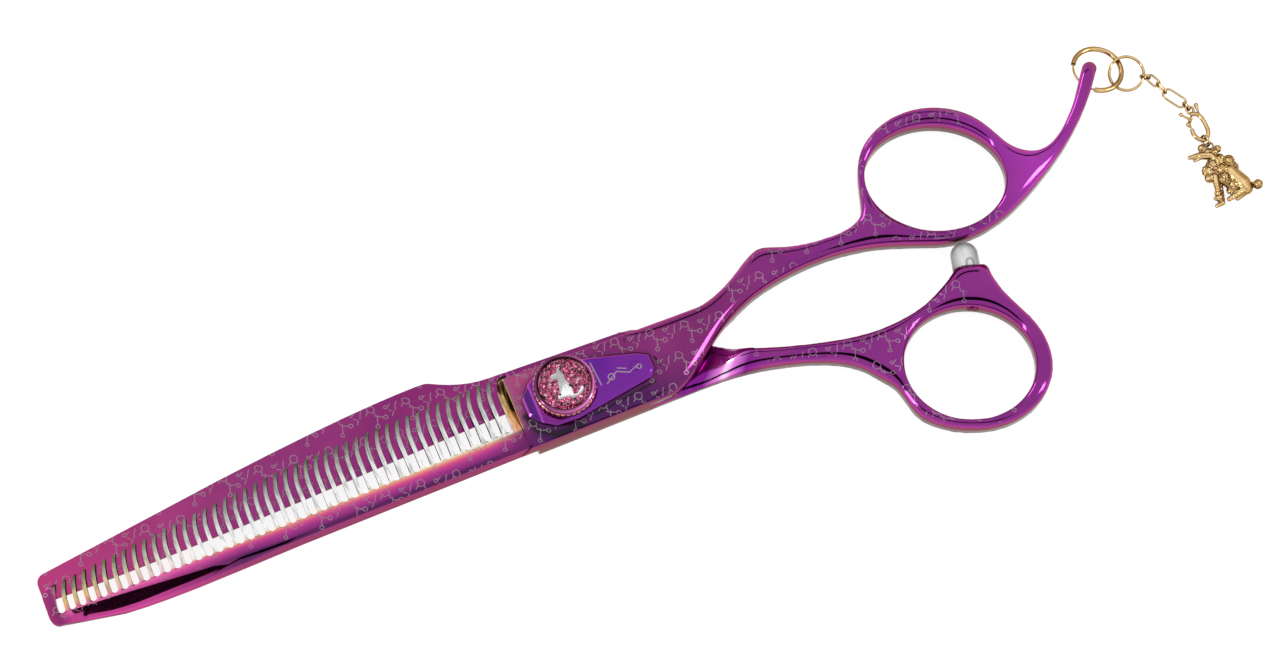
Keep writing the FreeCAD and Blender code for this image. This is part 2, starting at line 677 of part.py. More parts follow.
def dog_inlay():
    """A small silver silhouette of a sitting dog, its nose to the left."""
    nose_to_back = [(-2.3, 1.0), (-2.25, 1.45), (-1.55, 1.75), (-1.3, 2.3), (-1.05, 3.0), (-0.7, 2.2),
                    (-0.3, 1.9), (-0.05, 1.2), (0.5, 0.3), (1.15, -0.6), (1.45, -1.6)]
    tail = [(1.45, -1.6), (2.3, -1.3), (2.9, -0.4), (3.1, -0.5), (2.7, -1.6), (1.9, -2.2), (1.3, -2.4)]
    under = [(1.3, -2.4), (-0.2, -2.45), (-1.1, -2.4), (-1.15, -2.1), (-0.7, -2.0), (-0.75, -1.2),
             (-1.0, -0.3), (-1.1, 0.4), (-1.2, 0.75), (-1.8, 0.75), (-2.3, 1.0)]
    face = Part.Face(Part.Wire([smooth(nose_to_back), smooth(tail), smooth(under)]))
    inlay = node("dog_inlay", face.extrude(Vector(0, 0, size("inlay_height"))))
    upright = Rotation(Vector(0, 0, 1), size("inlay_turn"))
    inlay.Placement = Placement(Vector(0, 0, value_of(DISC_TOP)), upright)


def clear_lens():
    """A clear cap over the inlay: a disc cut from a ball, so that its crown is round."""
    ball = doc.addObject("Part::Sphere", "lens_ball")
    crown = f"((({WINDOW})^2 + {D}lens_rise^2) / (2 * {D}lens_rise))"
    ball.setExpression("Radius", crown)
    ball.setExpression("Placement.Base.z", f"{BEZEL_TOP} - 0.2 + {D}lens_rise - {crown}")
    blank = cylinder("lens_blank", WINDOW, f"{INLAY_TOP} + 0.01", f"{BEZEL_TOP} + 3")
    lens = doc.addObject("Part::Common", "clear_lens")
    lens.Base = blank
    lens.Tool = ball
    lens.Label = "clear_lens"


def bumper():
    """A clear silicone stop: a stem in the boss and a domed head against the finger ring."""
    stem = f"{D}bumper_stem - 0.04"
    head = D + "bumper_radius"
    tip = D + "bumper_height"
    body = turned("bumper", [
        ("0", f"-{D}bumper_stem_length"), (stem, f"-{D}bumper_stem_length"), (stem, "0.02"),
        (head, "0.02"), (head, tip), ("0", tip)])
    doc.recompute()
    turn = body.Tip
    crown = [f"Edge{number + 1}" for number, edge in enumerate(turn.Shape.Edges)
             if edge.BoundBox.ZMin > size("bumper_height") - 0.01]
    dome = body.newObject("PartDesign::Fillet", "bumper_dome")
    dome.Base = (turn, crown)
    dome.setExpression("Radius", f"{head} - 0.15")
    body.Tip = dome
    body.Placement = Placement(BUMPER_SEAT, Rotation(Vector(0, 0, 1), BUMPER_AXIS))


for build in (pivot_screw, pivot_bush, friction_washer, tension_plate, locating_pin, disc_spring,
              adjuster_knob, knob_bezel, glitter_disc, dog_inlay, clear_lens, bumper):
    build()
washer("thrust_washer", f"{THREAD} + 0.1", D + "thrust_radius", THRUST_LOW, THRUST_TOP)
doc.recompute()


# ---------------------------------------------------------------- hoop, chain and charm
UP = Vector(0, 0, 1)
PLAY = size("link_play")
WIRE = size("link_wire")


def frame_of(origin, along, up):
    """A placement whose X runs along and whose Z is as near up as it can be."""
    x_axis = Vector(along).normalize()
    y_axis = Vector(up).cross(x_axis).normalize()
    return Placement(origin, Rotation(x_axis, y_axis, x_axis.cross(y_axis), "XZY"))


def limb(start, start_radius, end, end_radius):
    """Two balls and the cone that wraps them both, as one turned solid."""
    span = Vector(end) - Vector(start)
    lean = math.acos((start_radius - end_radius) / span.Length)

    def rim(centre, radius, angle):
        return (centre + radius * math.cos(angle), radius * math.sin(angle))

    far = span.Length
    outline = Part.Wire([
        arc(rim(0, start_radius, math.pi), rim(0, start_radius, (math.pi + lean) / 2),
            rim(0, start_radius, lean)),
        line(rim(0, start_radius, lean), rim(far, end_radius, lean)),
        arc(rim(far, end_radius, lean), rim(far, end_radius, lean / 2), (far + end_radius, 0)),
        line((far + end_radius, 0), (-start_radius, 0)),
    ])
    solid = Part.Face(outline).revolve(Vector(0, 0, 0), Vector(1, 0, 0), 360)
    solid.Placement = Placement(Vector(start), Rotation(Vector(1, 0, 0), span))
    return solid


# From the hole in the finger rest to the middle of the hoop; the hoop sags a little.
HOOP_REACH = Vector(0.839, 0.544, -0.25).normalize()
HOOP_NORMAL = HOOP_REACH.cross(TANG_AXIS).normalize()
HOOP_CENTRE = TANG_HOLE + HOOP_REACH * size("hoop_radius")
WIRE_START, WIRE_SWEEP = -24.0, 90.0


def hoop_part(label, tube, start, sweep):
    """A length of the hoop; angles are counted from the hole, about the hoop's own normal."""
    part = doc.addObject("Part::Torus", label)
    part.setExpression("Radius1", D + "hoop_radius")
    part.setExpression("Radius2", tube)
    part.Angle3 = sweep
    toward_hole = Rotation(HOOP_NORMAL, start).multVec(HOOP_REACH * -1)
    part.Placement = frame_of(HOOP_CENTRE, toward_hole, HOOP_NORMAL)


# The split ring leans so that it lies over the hoop on one side and under it on the other.
SPLIT_CENTRE = Vector(112.6, 17.5, -1.47)
SPLIT_RISE = Vector(0.396, 0.918, 0.16).normalize()
SPLIT_LEVEL = Vector(-0.918, 0.396, 0)
SPLIT_NORMAL = SPLIT_LEVEL.cross(SPLIT_RISE).normalize() * -1


def split_ring():
    """Two coils of wire side by side."""
    ring = doc.addObject("Part::MultiFuse", "split_ring")
    coils = []
    for side in (-0.9, 0.9):
        coil = doc.addObject("Part::Torus", "split_coil")
        coil.setExpression("Radius1", D + "split_radius")
        coil.setExpression("Radius2", D + "split_wire")
        coil.setExpression("Placement.Base.z", f"{side} * {D}split_wire")
        coils.append(coil)
    ring.Shapes = coils
    ring.Placement = frame_of(SPLIT_CENTRE, SPLIT_LEVEL, SPLIT_NORMAL)


def stadium_loop(length, width, wire):
    """An oval wire link lying flat, its long axis on X; length and width are to its middle."""
    end = width / 2
    reach = (length - width) / 2
    edges = [
        line((-reach, end), (reach, end)),
        arc((reach, end), (reach + end, 0), (reach, -end)),
        line((reach, -end), (-reach, -end)),
        arc((-reach, -end), (-reach - end, 0), (-reach, end)),
    ]
    section = Part.Circle(Vector(-reach, end, 0), Vector(1, 0, 0), wire).toShape()
    return Part.Wire(edges).makePipeShell([Part.Wire([section])], True, True)


def at_level(x, y):
    return Vector(x, y, size("chain_level"))


# Where each link bears on the next, from the split ring to the clasp.
STOPS = [at_level(115.05, 15.87), at_level(116.04, 15.21), at_level(116.87, 13.39),
         at_level(117.47, 11.59), at_level(119.54, 8.29), at_level(119.89, 7.2)]
UPRIGHT = 90.0


def link(label, bears_on, carries, width, roll):
    """A link hanging at bears_on with the next one at carries, turned by roll about its length."""
    along = (carries - bears_on).normalize()
    first = bears_on - along * (2 * WIRE + PLAY)
    part = node(label, stadium_loop((carries - first).Length, width, WIRE))
    part.Placement = frame_of((first + carries) * 0.5, along, Rotation(along, roll).multVec(UP))


def chain():
    """The ring on the split ring, two small links, a large oval link and the clasp's ring."""
    link("chain_end_ring", STOPS[0], STOPS[1], 1.7, UPRIGHT)
    link("chain_link_flat", STOPS[1], STOPS[2], 1.3, 0.0)
    link("chain_link_upright", STOPS[2], STOPS[3], 1.3, UPRIGHT)
    link("chain_link_large", STOPS[3], STOPS[4], 1.9, 0.0)
    link("clasp_ring", STOPS[4], STOPS[5], 1.4, UPRIGHT)


CLASP_DOWN = (STOPS[5] - STOPS[4]).normalize()
GATE_HUB = (119.25, 5.5)
HOOK_PATH = [(119.95, 6.25), (120.9, 5.7), (121.25, 4.6), (121.3, 3.2), (120.95, 1.8),
             (119.95, 1.15), (119.05, 1.7), (118.65, 2.7), (118.7, 3.5)]


def in_chain(part, label):
    """Adds a part that was drawn in plan, on height zero, at the level of the chain."""
    item = node(label, part)
    item.Placement = Placement(Vector(0, 0, size("chain_level")), Rotation())


def lobster_clasp():
    tube = size("clasp_tube")
    spine = Part.Wire([smooth(HOOK_PATH)])
    heading = spine.Edges[0].tangentAt(spine.Edges[0].FirstParameter)
    start = Vector(*HOOK_PATH[0], 0)
    end = Vector(*HOOK_PATH[-1], 0)
    section = Part.Wire([Part.Circle(start, heading, tube).toShape()])
    hook = spine.makePipeShell([section], True, True)
    eye = Part.makeTorus(size("clasp_eye"), 0.22)
    eye.translate(Vector(STOPS[5].x, STOPS[5].y, 0) + CLASP_DOWN * 0.14)
    hub = Vector(*GATE_HUB, 0)
    cheek = limb(start - UP * 0.5, 0.2, hub - UP * 0.5, 0.2)
    pin = Part.makeCylinder(size("clasp_pin"), 0.85, hub - UP * 0.5)
    thumb = limb((121.3, 7.55, 0), 0.4, (121.15, 6.5, 0), 0.2)
    stem = limb((121.15, 6.5, 0), 0.2, (120.95, 5.6, 0), 0.3)
    pieces = [Part.makeSphere(tube, start), Part.makeSphere(tube, end), eye, cheek, pin, thumb, stem]
    in_chain(hook.fuse(pieces).removeSplitter(), "lobster_clasp")


def clasp_gate():
    """The leaf that closes the clasp, and the thumb lever that opens it."""
    hub = Vector(*GATE_HUB, 0)
    ring = Part.makeCylinder(0.42, 0.5, hub - UP * 0.25)
    leaf = limb((119.0, 5.05, 0), 0.22, (118.5, 4.75, 0), 0.4)
    tip = limb((118.5, 4.75, 0), 0.4, (118.72, 4.22, 0), 0.25)
    lever = limb((119.0, 5.75, 0), 0.2, (118.3, 6.65, 0), 0.18)
    ball = Part.makeSphere(0.36, Vector(118.1, 6.9, 0))
    bore = Part.makeCylinder(size("clasp_pin") + 0.04, 2, hub - UP)
    in_chain(ring.fuse([leaf, tip, lever, ball]).cut(bore), "clasp_gate")


HOOK_BOTTOM = at_level(119.95, 1.15)
RING_DOWN = Vector(0.2, -0.98, 0).normalize()
RING_END = HOOK_BOTTOM + RING_DOWN * 1.25
LOOP_PLACE = RING_END + RING_DOWN * (size("charm_loop") - size("charm_wire") - WIRE - 0.05)


def charm_ring():
    """The ring in the hook, leaning so that its opening shows from above."""
    start = HOOK_BOTTOM - RING_DOWN * (size("clasp_tube") + WIRE + 2 * PLAY)
    part = node("charm_ring", stadium_loop((RING_END - start).Length, 1.9, WIRE))
    up = Rotation(RING_DOWN, 72).multVec(UP)
    part.Placement = frame_of((start + RING_END) * 0.5, RING_DOWN, up)


# The sitting poodle in side view, measured from the middle of its loop, nose to -X: down its
# back to the tail, along the feet, up the chest and round the head.
POODLE_BACK = [(-0.7, -0.5), (0.4, -0.6), (1.15, -0.4), (1.75, -1.0), (1.65, -2.2), (2.6, -3.0),
               (3.05, -4.2), (2.9, -5.6), (3.3, -7.0), (3.9, -8.2), (4.8, -8.7), (5.65, -9.3),
               (5.5, -10.2), (4.7, -10.6)]
POODLE_FEET = [(4.7, -10.6), (3.7, -10.35), (2.6, -10.9), (0.8, -11.1), (-0.9, -10.95), (-1.9, -10.6),
               (-3.0, -10.8), (-3.8, -10.5), (-3.0, -9.95), (-3.55, -9.4), (-3.1, -8.9)]
POODLE_CHEST = [(-3.1, -8.9), (-2.45, -7.9), (-2.3, -6.9), (-3.2, -5.9), (-3.35, -4.8), (-2.9, -3.6),
                (-2.2, -2.6), (-2.5, -1.95)]
POODLE_HEAD = [(-2.5, -1.95), (-3.7, -1.6), (-4.35, -0.9), (-3.6, -0.3), (-2.5, -0.2), (-2.1, 0.5),
               (-1.3, 0.75), (-0.7, -0.5)]


def poodle_charm():
    sides = [smooth(side) for side in (POODLE_BACK, POODLE_FEET, POODLE_CHEST, POODLE_HEAD)]
    half = size("charm_thickness") / 2
    loop = Part.makeTorus(size("charm_loop"), size("charm_wire"))
    charm = node("poodle_charm", prism([Part.Wire(sides)], -half, half).fuse(loop))
    charm.Placement = Placement(LOOP_PLACE, Rotation())


hoop_part("hoop_wire", D + "hoop_wire", WIRE_START, WIRE_SWEEP)
hoop_part("hoop_tube", D + "hoop_tube", WIRE_START + WIRE_SWEEP, 360 - WIRE_SWEEP)
for build in (split_ring, chain, lobster_clasp, clasp_gate, charm_ring, poodle_charm):
    build()
doc.recompute()


# ---------------------------------------------------------------- checks and files
NODES = [
    "solid_blade_half", "pivot_bush", "friction_washer", "bumper", "comb_blade_half",
    "pivot_screw", "tension_plate", "plate_locating_pin", "disc_spring", "thrust_washer",
    "adjuster_knob", "knob_bezel", "glitter_disc", "dog_inlay", "clear_lens", "hoop_wire",
    "hoop_tube", "split_ring", "chain_end_ring", "chain_link_flat", "chain_link_upright",
    "chain_link_large", "clasp_ring", "lobster_clasp", "clasp_gate", "charm_ring", "poodle_charm",
]

for item in doc.Objects:
    if "Invalid" in item.State or "Error" in item.State:
        raise ValueError(f"{item.Label} failed: {item.State}")
pieces = [doc.getObjectsByLabel(label)[0] for label in NODES]
for piece in pieces:
    if piece.Shape.isNull() or not piece.Shape.isValid():
        raise ValueError(f"{piece.Label} has no valid shape")

os.makedirs("parts", exist_ok=True)
for piece in pieces:
    piece.Shape.exportStep(f"parts/{piece.Label}.step")
    box = piece.Shape.BoundBox
    print(f"{piece.Label}: {piece.Shape.Volume:.2f} mm3, {len(piece.Shape.Solids)} solid, "
          f"z {box.ZMin:.2f} to {box.ZMax:.2f}")
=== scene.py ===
# Looks of the thinning shears: polished violet coating with etched line art, bright comb teeth,
# a glittering dial under a clear cap, a clear silicone bumper and a gold charm on its chain.
import math
import random

import bmesh
import bpy
import numpy as np
from mathutils.bvhtree import BVHTree
from mathutils import Matrix, Vector, noise


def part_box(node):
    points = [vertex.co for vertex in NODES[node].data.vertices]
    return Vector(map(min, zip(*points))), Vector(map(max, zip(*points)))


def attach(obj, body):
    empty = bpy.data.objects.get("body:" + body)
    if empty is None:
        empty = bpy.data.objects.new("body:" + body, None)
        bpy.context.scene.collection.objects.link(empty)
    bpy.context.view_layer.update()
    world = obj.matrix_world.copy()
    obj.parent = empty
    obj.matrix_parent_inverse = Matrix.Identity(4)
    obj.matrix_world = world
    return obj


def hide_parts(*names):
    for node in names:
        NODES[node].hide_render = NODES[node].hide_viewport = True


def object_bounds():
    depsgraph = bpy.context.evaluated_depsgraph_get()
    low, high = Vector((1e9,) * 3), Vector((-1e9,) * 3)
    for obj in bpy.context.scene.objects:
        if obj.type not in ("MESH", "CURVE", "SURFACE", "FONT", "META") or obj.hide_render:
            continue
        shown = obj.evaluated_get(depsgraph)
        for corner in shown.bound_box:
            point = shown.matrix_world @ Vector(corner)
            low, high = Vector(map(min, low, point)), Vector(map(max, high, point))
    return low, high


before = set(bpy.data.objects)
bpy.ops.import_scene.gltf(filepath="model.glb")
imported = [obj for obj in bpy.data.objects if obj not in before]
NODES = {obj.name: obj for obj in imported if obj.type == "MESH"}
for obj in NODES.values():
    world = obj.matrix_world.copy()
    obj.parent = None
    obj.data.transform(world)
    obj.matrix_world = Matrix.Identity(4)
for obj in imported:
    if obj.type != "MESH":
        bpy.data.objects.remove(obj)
CAD_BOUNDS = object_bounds()
MM = 0.001
WELD = 0.001 * MM        # corners of a CAD mesh closer than this are one corner
CREASE = 28              # degrees between two faces from which their edge is eased
MIX_FACTOR, MIX_A, MIX_B = 0, 6, 7       # sockets of a colour mix node
MIX_RESULT = 2
rng = random.Random(7)


# ---------------------------------------------------------------- meshes
def copy_of(node, name):
    """A free copy of a CAD node's mesh, its corners joined up again."""
    source = NODES[node]
    mesh = source.data.copy()
    obj = bpy.data.objects.new(name, mesh)
    bpy.context.scene.collection.objects.link(obj)
    mesh.materials.clear()
    work = bmesh.new()
    work.from_mesh(mesh)
    bmesh.ops.remove_doubles(work, verts=work.verts, dist=WELD)
    work.to_mesh(mesh)
    work.free()
    if mesh.has_custom_normals:
        bpy.context.view_layer.objects.active = obj
        with bpy.context.temp_override(object=obj, active_object=obj):
            bpy.ops.mesh.customdata_custom_splitnormals_clear()
    return obj


def apply_modifiers(obj):
    """Bakes the modifiers into the mesh."""
    depsgraph = bpy.context.evaluated_depsgraph_get()
    mesh = bpy.data.meshes.new_from_object(obj.evaluated_get(depsgraph))
    obj.modifiers.clear()
    obj.data = mesh


def flatten(obj, angle=0.6):
    """Joins the triangles of each flat face into one polygon."""
    work = bmesh.new()
    work.from_mesh(obj.data)
    bmesh.ops.dissolve_limit(work, angle_limit=math.radians(angle), verts=work.verts, edges=work.edges)
    work.to_mesh(obj.data)
    work.free()


def cut(obj, x, keep_left):
    """Cuts obj at the plane x and closes the cut."""
    work = bmesh.new()
    work.from_mesh(obj.data)
    geometry = work.verts[:] + work.edges[:] + work.faces[:]
    result = bmesh.ops.bisect_plane(
        work, geom=geometry, plane_co=(x, 0, 0), plane_no=(1, 0, 0),
        clear_outer=keep_left, clear_inner=not keep_left)
    rim = [item for item in result["geom_cut"] if isinstance(item, bmesh.types.BMEdge)]
    bmesh.ops.holes_fill(work, edges=rim)
    work.to_mesh(obj.data)
    work.free()


def shade(obj, angle=30):
    """Smooth shading that keeps edges sharper than the angle."""
    mesh = obj.data
    mesh.polygons.foreach_set("use_smooth", [True] * len(mesh.polygons))
    work = bmesh.new()
    work.from_mesh(mesh)
    limit = math.radians(angle)
    for edge in work.edges:
        edge.smooth = len(edge.link_faces) == 2 and edge.calc_face_angle(0) < limit
    work.to_mesh(mesh)
    work.free()


def ease_edges(obj, width, segments=2):
    """Rounds every crease of obj by width, in millimetres."""
    bevel = obj.modifiers.new("ease", "BEVEL")
    bevel.width = width * MM
    bevel.segments = segments
    bevel.limit_method = "ANGLE"
    bevel.angle_limit = math.radians(CREASE)
    apply_modifiers(obj)


def bevelled(node, name, width, segments):
    """A crisp copy of a CAD node with its edges eased."""
    obj = copy_of(node, name)
    flatten(obj)
    ease_edges(obj, width, segments)
    shade(obj, 40)
    return obj


def finish_piece(obj, material, body, slot, *nodes):
    """Gives obj its material and its body, and hides the CAD nodes it stands for; slot is not used."""
    obj.data.materials.clear()
    obj.data.materials.append(material)
    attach(obj, body)
    if nodes:
        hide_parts(*nodes)


def mesh_object(name, vertices, faces):
    """A new object made of the vertices and faces given."""
    mesh = bpy.data.meshes.new(name)
    mesh.from_pydata(vertices, [], faces)
    mesh.update()
    obj = bpy.data.objects.new(name, mesh)
    bpy.context.scene.collection.objects.link(obj)
    return obj


# ---------------------------------------------------------------- shader helpers
class Shader:
    """A material whose nodes are made by short calls."""

    def __init__(self, name):
        self.material = bpy.data.materials.new(name)
        self.material.use_nodes = True
        self.tree = self.material.node_tree
        self.surface = self.tree.nodes["Principled BSDF"]
        self.position = self.node("ShaderNodeTexCoord").outputs["Object"]

    def node(self, kind, **settings):
        """A new node with its settings."""
        made = self.tree.nodes.new(kind)
        for key, value in settings.items():
            setattr(made, key, value)
        return made

    def put(self, value, socket):
        """Links a socket, or sets a plain value."""
        if isinstance(value, bpy.types.NodeSocket):
            self.tree.links.new(value, socket)
        else:
            socket.default_value = value

    def set(self, **values):
        """Feeds inputs of the surface; an underscore stands for a space in their names."""
        for key, value in values.items():
            self.put(value, self.surface.inputs[key.replace("_", " ")])

    def math(self, operation, a, b=0.0, c=0.0, clamp=False):
        """A sum, product or other number made from a, b and c."""
        made = self.node("ShaderNodeMath", operation=operation, use_clamp=clamp)
        for value, socket in zip((a, b, c), made.inputs):
            self.put(value, socket)
        return made.outputs[0]

    def both(self, a, b):
        """The product of two masks: 1 only where both are 1."""
        return self.math("MULTIPLY", a, b)

    def inverse(self, a):
        """A mask turned round."""
        return self.math("SUBTRACT", 1.0, a)

    def vector(self, operation, a, b=(0, 0, 0), scale=None):
        """The same for vectors."""
        made = self.node("ShaderNodeVectorMath", operation=operation)
        self.put(a, made.inputs[0])
        self.put(b, made.inputs[1])
        if scale is not None:
            self.put(scale, made.inputs["Scale"])
        return made.outputs["Value" if operation in ("LENGTH", "DOT_PRODUCT") else "Vector"]

    def axis(self, vector, index):
        """One component of a vector."""
        made = self.node("ShaderNodeSeparateXYZ")
        self.put(vector, made.inputs[0])
        return made.outputs[index]

    def plan(self):
        """The x and y of the point that is shaded."""
        return self.axis(self.position, 0), self.axis(self.position, 1)

    def blend(self, factor, a, b, mode="MIX"):
        """A colour from a to b."""
        made = self.node("ShaderNodeMix", data_type="RGBA", blend_type=mode)
        self.put(factor, made.inputs[MIX_FACTOR])
        self.put(a, made.inputs[MIX_A])
        self.put(b, made.inputs[MIX_B])
        return made.outputs[MIX_RESULT]

    def darken(self, colour, value):
        """The colour times a number."""
        return self.blend(1.0, colour, self.grey(value), "MULTIPLY")

    def facing(self):
        """0 where the surface faces the camera, rising to 1 at its outline."""
        made = self.node("ShaderNodeLayerWeight")
        made.inputs["Blend"].default_value = 0.5
        return made.outputs["Facing"]

    def open_sky(self, distance, power):
        """1 in the open, less in corners where little light gets in within a distance."""
        made = self.node("ShaderNodeAmbientOcclusion", samples=4)
        made.inputs["Distance"].default_value = distance
        return self.math("POWER", made.outputs["AO"], power)

    def grey(self, value):
        """A number as a colour."""
        made = self.node("ShaderNodeCombineColor")
        for socket in made.inputs:
            self.put(value, socket)
        return made.outputs[0]

    def ramp(self, factor, stops):
        """A colour ramp; stops are (place, colour)."""
        made = self.node("ShaderNodeValToRGB")
        band = made.color_ramp
        for place, _ in stops[len(band.elements):]:
            band.elements.new(place)
        for element, (place, colour) in zip(band.elements, stops):
            element.position = place
            element.color = (*colour, 1)
        self.put(factor, made.inputs[0])
        return made.outputs[0]

    def span(self, value, low, high, to_low=0.0, to_high=1.0):
        """Maps low..high to to_low..to_high, held at the ends."""
        made = self.node("ShaderNodeMapRange", clamp=True)
        for number, item in enumerate((value, low, high, to_low, to_high)):
            self.put(item, made.inputs[number])
        return made.outputs[0]

    def noise(self, scale, detail=3.0, stretch=(1, 1, 1)):
        """Cloudy noise from 0 to 1, drawn out along the axes whose stretch is small."""
        mapping = self.node("ShaderNodeMapping")
        self.put(self.position, mapping.inputs[0])
        mapping.inputs["Scale"].default_value = stretch
        made = self.node("ShaderNodeTexNoise")
        self.put(mapping.outputs[0], made.inputs["Vector"])
        made.inputs["Scale"].default_value = scale
        made.inputs["Detail"].default_value = detail
        return made.outputs[0]

    def bump(self, height, distance):
        """Raises the surface by height times distance, in metres."""
        made = self.node("ShaderNodeBump")
        made.inputs["Distance"].default_value = distance
        self.put(height, made.inputs["Height"])
        self.set(Normal=made.outputs[0])


# ---------------------------------------------------------------- etched line art
CELL = (6.05 * MM, 5.2 * MM)     # one motif to a cell
ROW_SLOPE = 0.13                 # the rows of cells climb a little toward the tip
STROKE = 0.075 * MM
WOBBLE = 0.5 * MM
# One motif: a doodle of rings and strokes, in millimetres about the cell centre.
MOTIF_RINGS = [((-0.95, -2.05), 0.30), ((0.95, -0.75), 0.34), ((-1.55, 0.95), 0.27), ((2.0, 1.2), 0.62)]
MOTIF_STROKES = [((-0.82, -1.78), (-0.35, -0.35)), ((0.62, -0.65), (-0.35, -0.35)),
                 ((-0.35, -0.35), (-1.25, 0.3)), ((-0.35, -0.35), (0.1, 0.95)),
                 ((-1.3, 0.85), (-0.75, 1.3)), ((0.1, 0.95), (0.45, 1.5)),
                 ((1.45, 0.9), (0.9, 0.35)), ((2.35, 0.68), (2.45, -0.3)),
                 ((2.45, -0.3), (2.05, -0.8))]


# A tick beside the dial and a plain scroll on the tension plate, in millimetres.
PLATE_RINGS = [((8.1, -0.9), 0.55), ((13.1, -0.95), 0.38)]
PLATE_STROKES = [((5.7, 2.7), (6.0, -1.6)), ((7.0, -1.75), (9.2, -0.35)), ((9.2, -0.35), (11.2, -1.3)),
                 ((11.2, -1.3), (13.1, -0.57)), ((9.6, 0.15), (10.9, -0.45))]


# Shadows the plate and the dial throw on the comb half: a thin one, then a broad one.
PLATE_SHADE = [((14.8, -4.2), (8.6, -5.0)), ((8.6, -5.0), (3.2, -5.7)), ((16.2, -0.1), (16.7, -1.7))]
DIAL_SHADE = [((-7.7, -1.6), (-6.7, -4.6)), ((-6.7, -4.6), (-4.0, -6.5)), ((-4.0, -6.5), (0.6, -6.3))]


def line_distance(shader, point, rings, strokes):
    """How far a point of the plan is from the nearest ring or stroke."""
    nearest = 1.0
    for centre, radius in rings:
        offset = shader.vector("SUBTRACT", point, (centre[0] * MM, centre[1] * MM, 0))
        flat = shader.vector("MULTIPLY", offset, (1, 1, 0))
        reach = shader.math("SUBTRACT", shader.vector("LENGTH", flat), radius * MM)
        nearest = shader.math("MINIMUM", nearest, shader.math("ABSOLUTE", reach))
    for start, end in strokes:
        begin = Vector((start[0], start[1], 0)) * MM
        run = Vector((end[0], end[1], 0)) * MM - begin
        offset = shader.vector("SUBTRACT", point, tuple(begin))
        flat = shader.vector("MULTIPLY", offset, (1, 1, 0))
        share = shader.math("DIVIDE", shader.vector("DOT_PRODUCT", flat, tuple(run)),
                            run.length_squared, clamp=True)
        along = shader.vector("SCALE", tuple(run), scale=share)
        away = shader.vector("LENGTH", shader.vector("SUBTRACT", flat, along))
        nearest = shader.math("MINIMUM", nearest, away)
    return nearest


def spine_ridge(shader, x):
    """The y of the ridge along the comb half's spine toward the tip."""
    return shader.span(x, -79 * MM, -52 * MM, -4.35 * MM, -6.3 * MM)


def etching(shader):
    """1 on the line art, else 0: the motif repeated over the plan, every other row shifted."""
    x, y = shader.plan()
    across = shader.math("ADD", y, shader.math("MULTIPLY", x, ROW_SLOPE))
    row = shader.math("FLOOR", shader.math("DIVIDE", across, CELL[1]))
    odd_row = shader.math("MODULO", shader.math("ABSOLUTE", row), 2.0)
    along = shader.math("ADD", x, shader.math("MULTIPLY", odd_row, CELL[0] / 2))
    cell = shader.node("ShaderNodeCombineXYZ")
    shader.put(shader.math("WRAP", along, CELL[0] / 2, -CELL[0] / 2), cell.inputs[0])
    shader.put(shader.math("WRAP", across, CELL[1] / 2, -CELL[1] / 2), cell.inputs[1])
    sway = shader.math("MULTIPLY", shader.math("SUBTRACT", shader.noise(700, 1.0), 0.5), WOBBLE)
    point = shader.vector("ADD", cell.outputs[0], sway)
    nearest = line_distance(shader, point, MOTIF_RINGS, MOTIF_STROKES)
    lines = shader.span(nearest, STROKE * 0.7, STROKE * 1.3, 1.0, 0.0)
    # the dark facet of the spine toward the tip has none
    above_ridge = shader.math("SUBTRACT", y, spine_ridge(shader, x))
    facet = shader.both(shader.span(above_ridge, -0.1 * MM, 0.3 * MM, 1.0, 0.0),
                        shader.span(x, -54 * MM, -50 * MM, 1.0, 0.0))
    return shader.both(lines, shader.inverse(facet))


def facing_up(shader):
    """1 on faces that look up or down, 0 on side walls."""
    normal = shader.node("ShaderNodeNewGeometry").outputs["True Normal"]
    level = shader.node("ShaderNodeVectorTransform", vector_type="NORMAL",
                        convert_from="WORLD", convert_to="OBJECT")
    shader.put(normal, level.inputs[0])
    upright = shader.math("ABSOLUTE", shader.axis(level.outputs[0], 2))
    return shader.span(upright, 0.6, 0.75)


# ---------------------------------------------------------------- materials
CLOUD_TINT = (0.8, 0.10, 0.5, 1)
ETCHED_TONE = (0.30, 0.21, 0.26, 1)
COAT_WEIGHT = 0.42
HEEL_EDGE = (-10.8 * MM, -10.4 * MM)     # the comb's last gap ends here


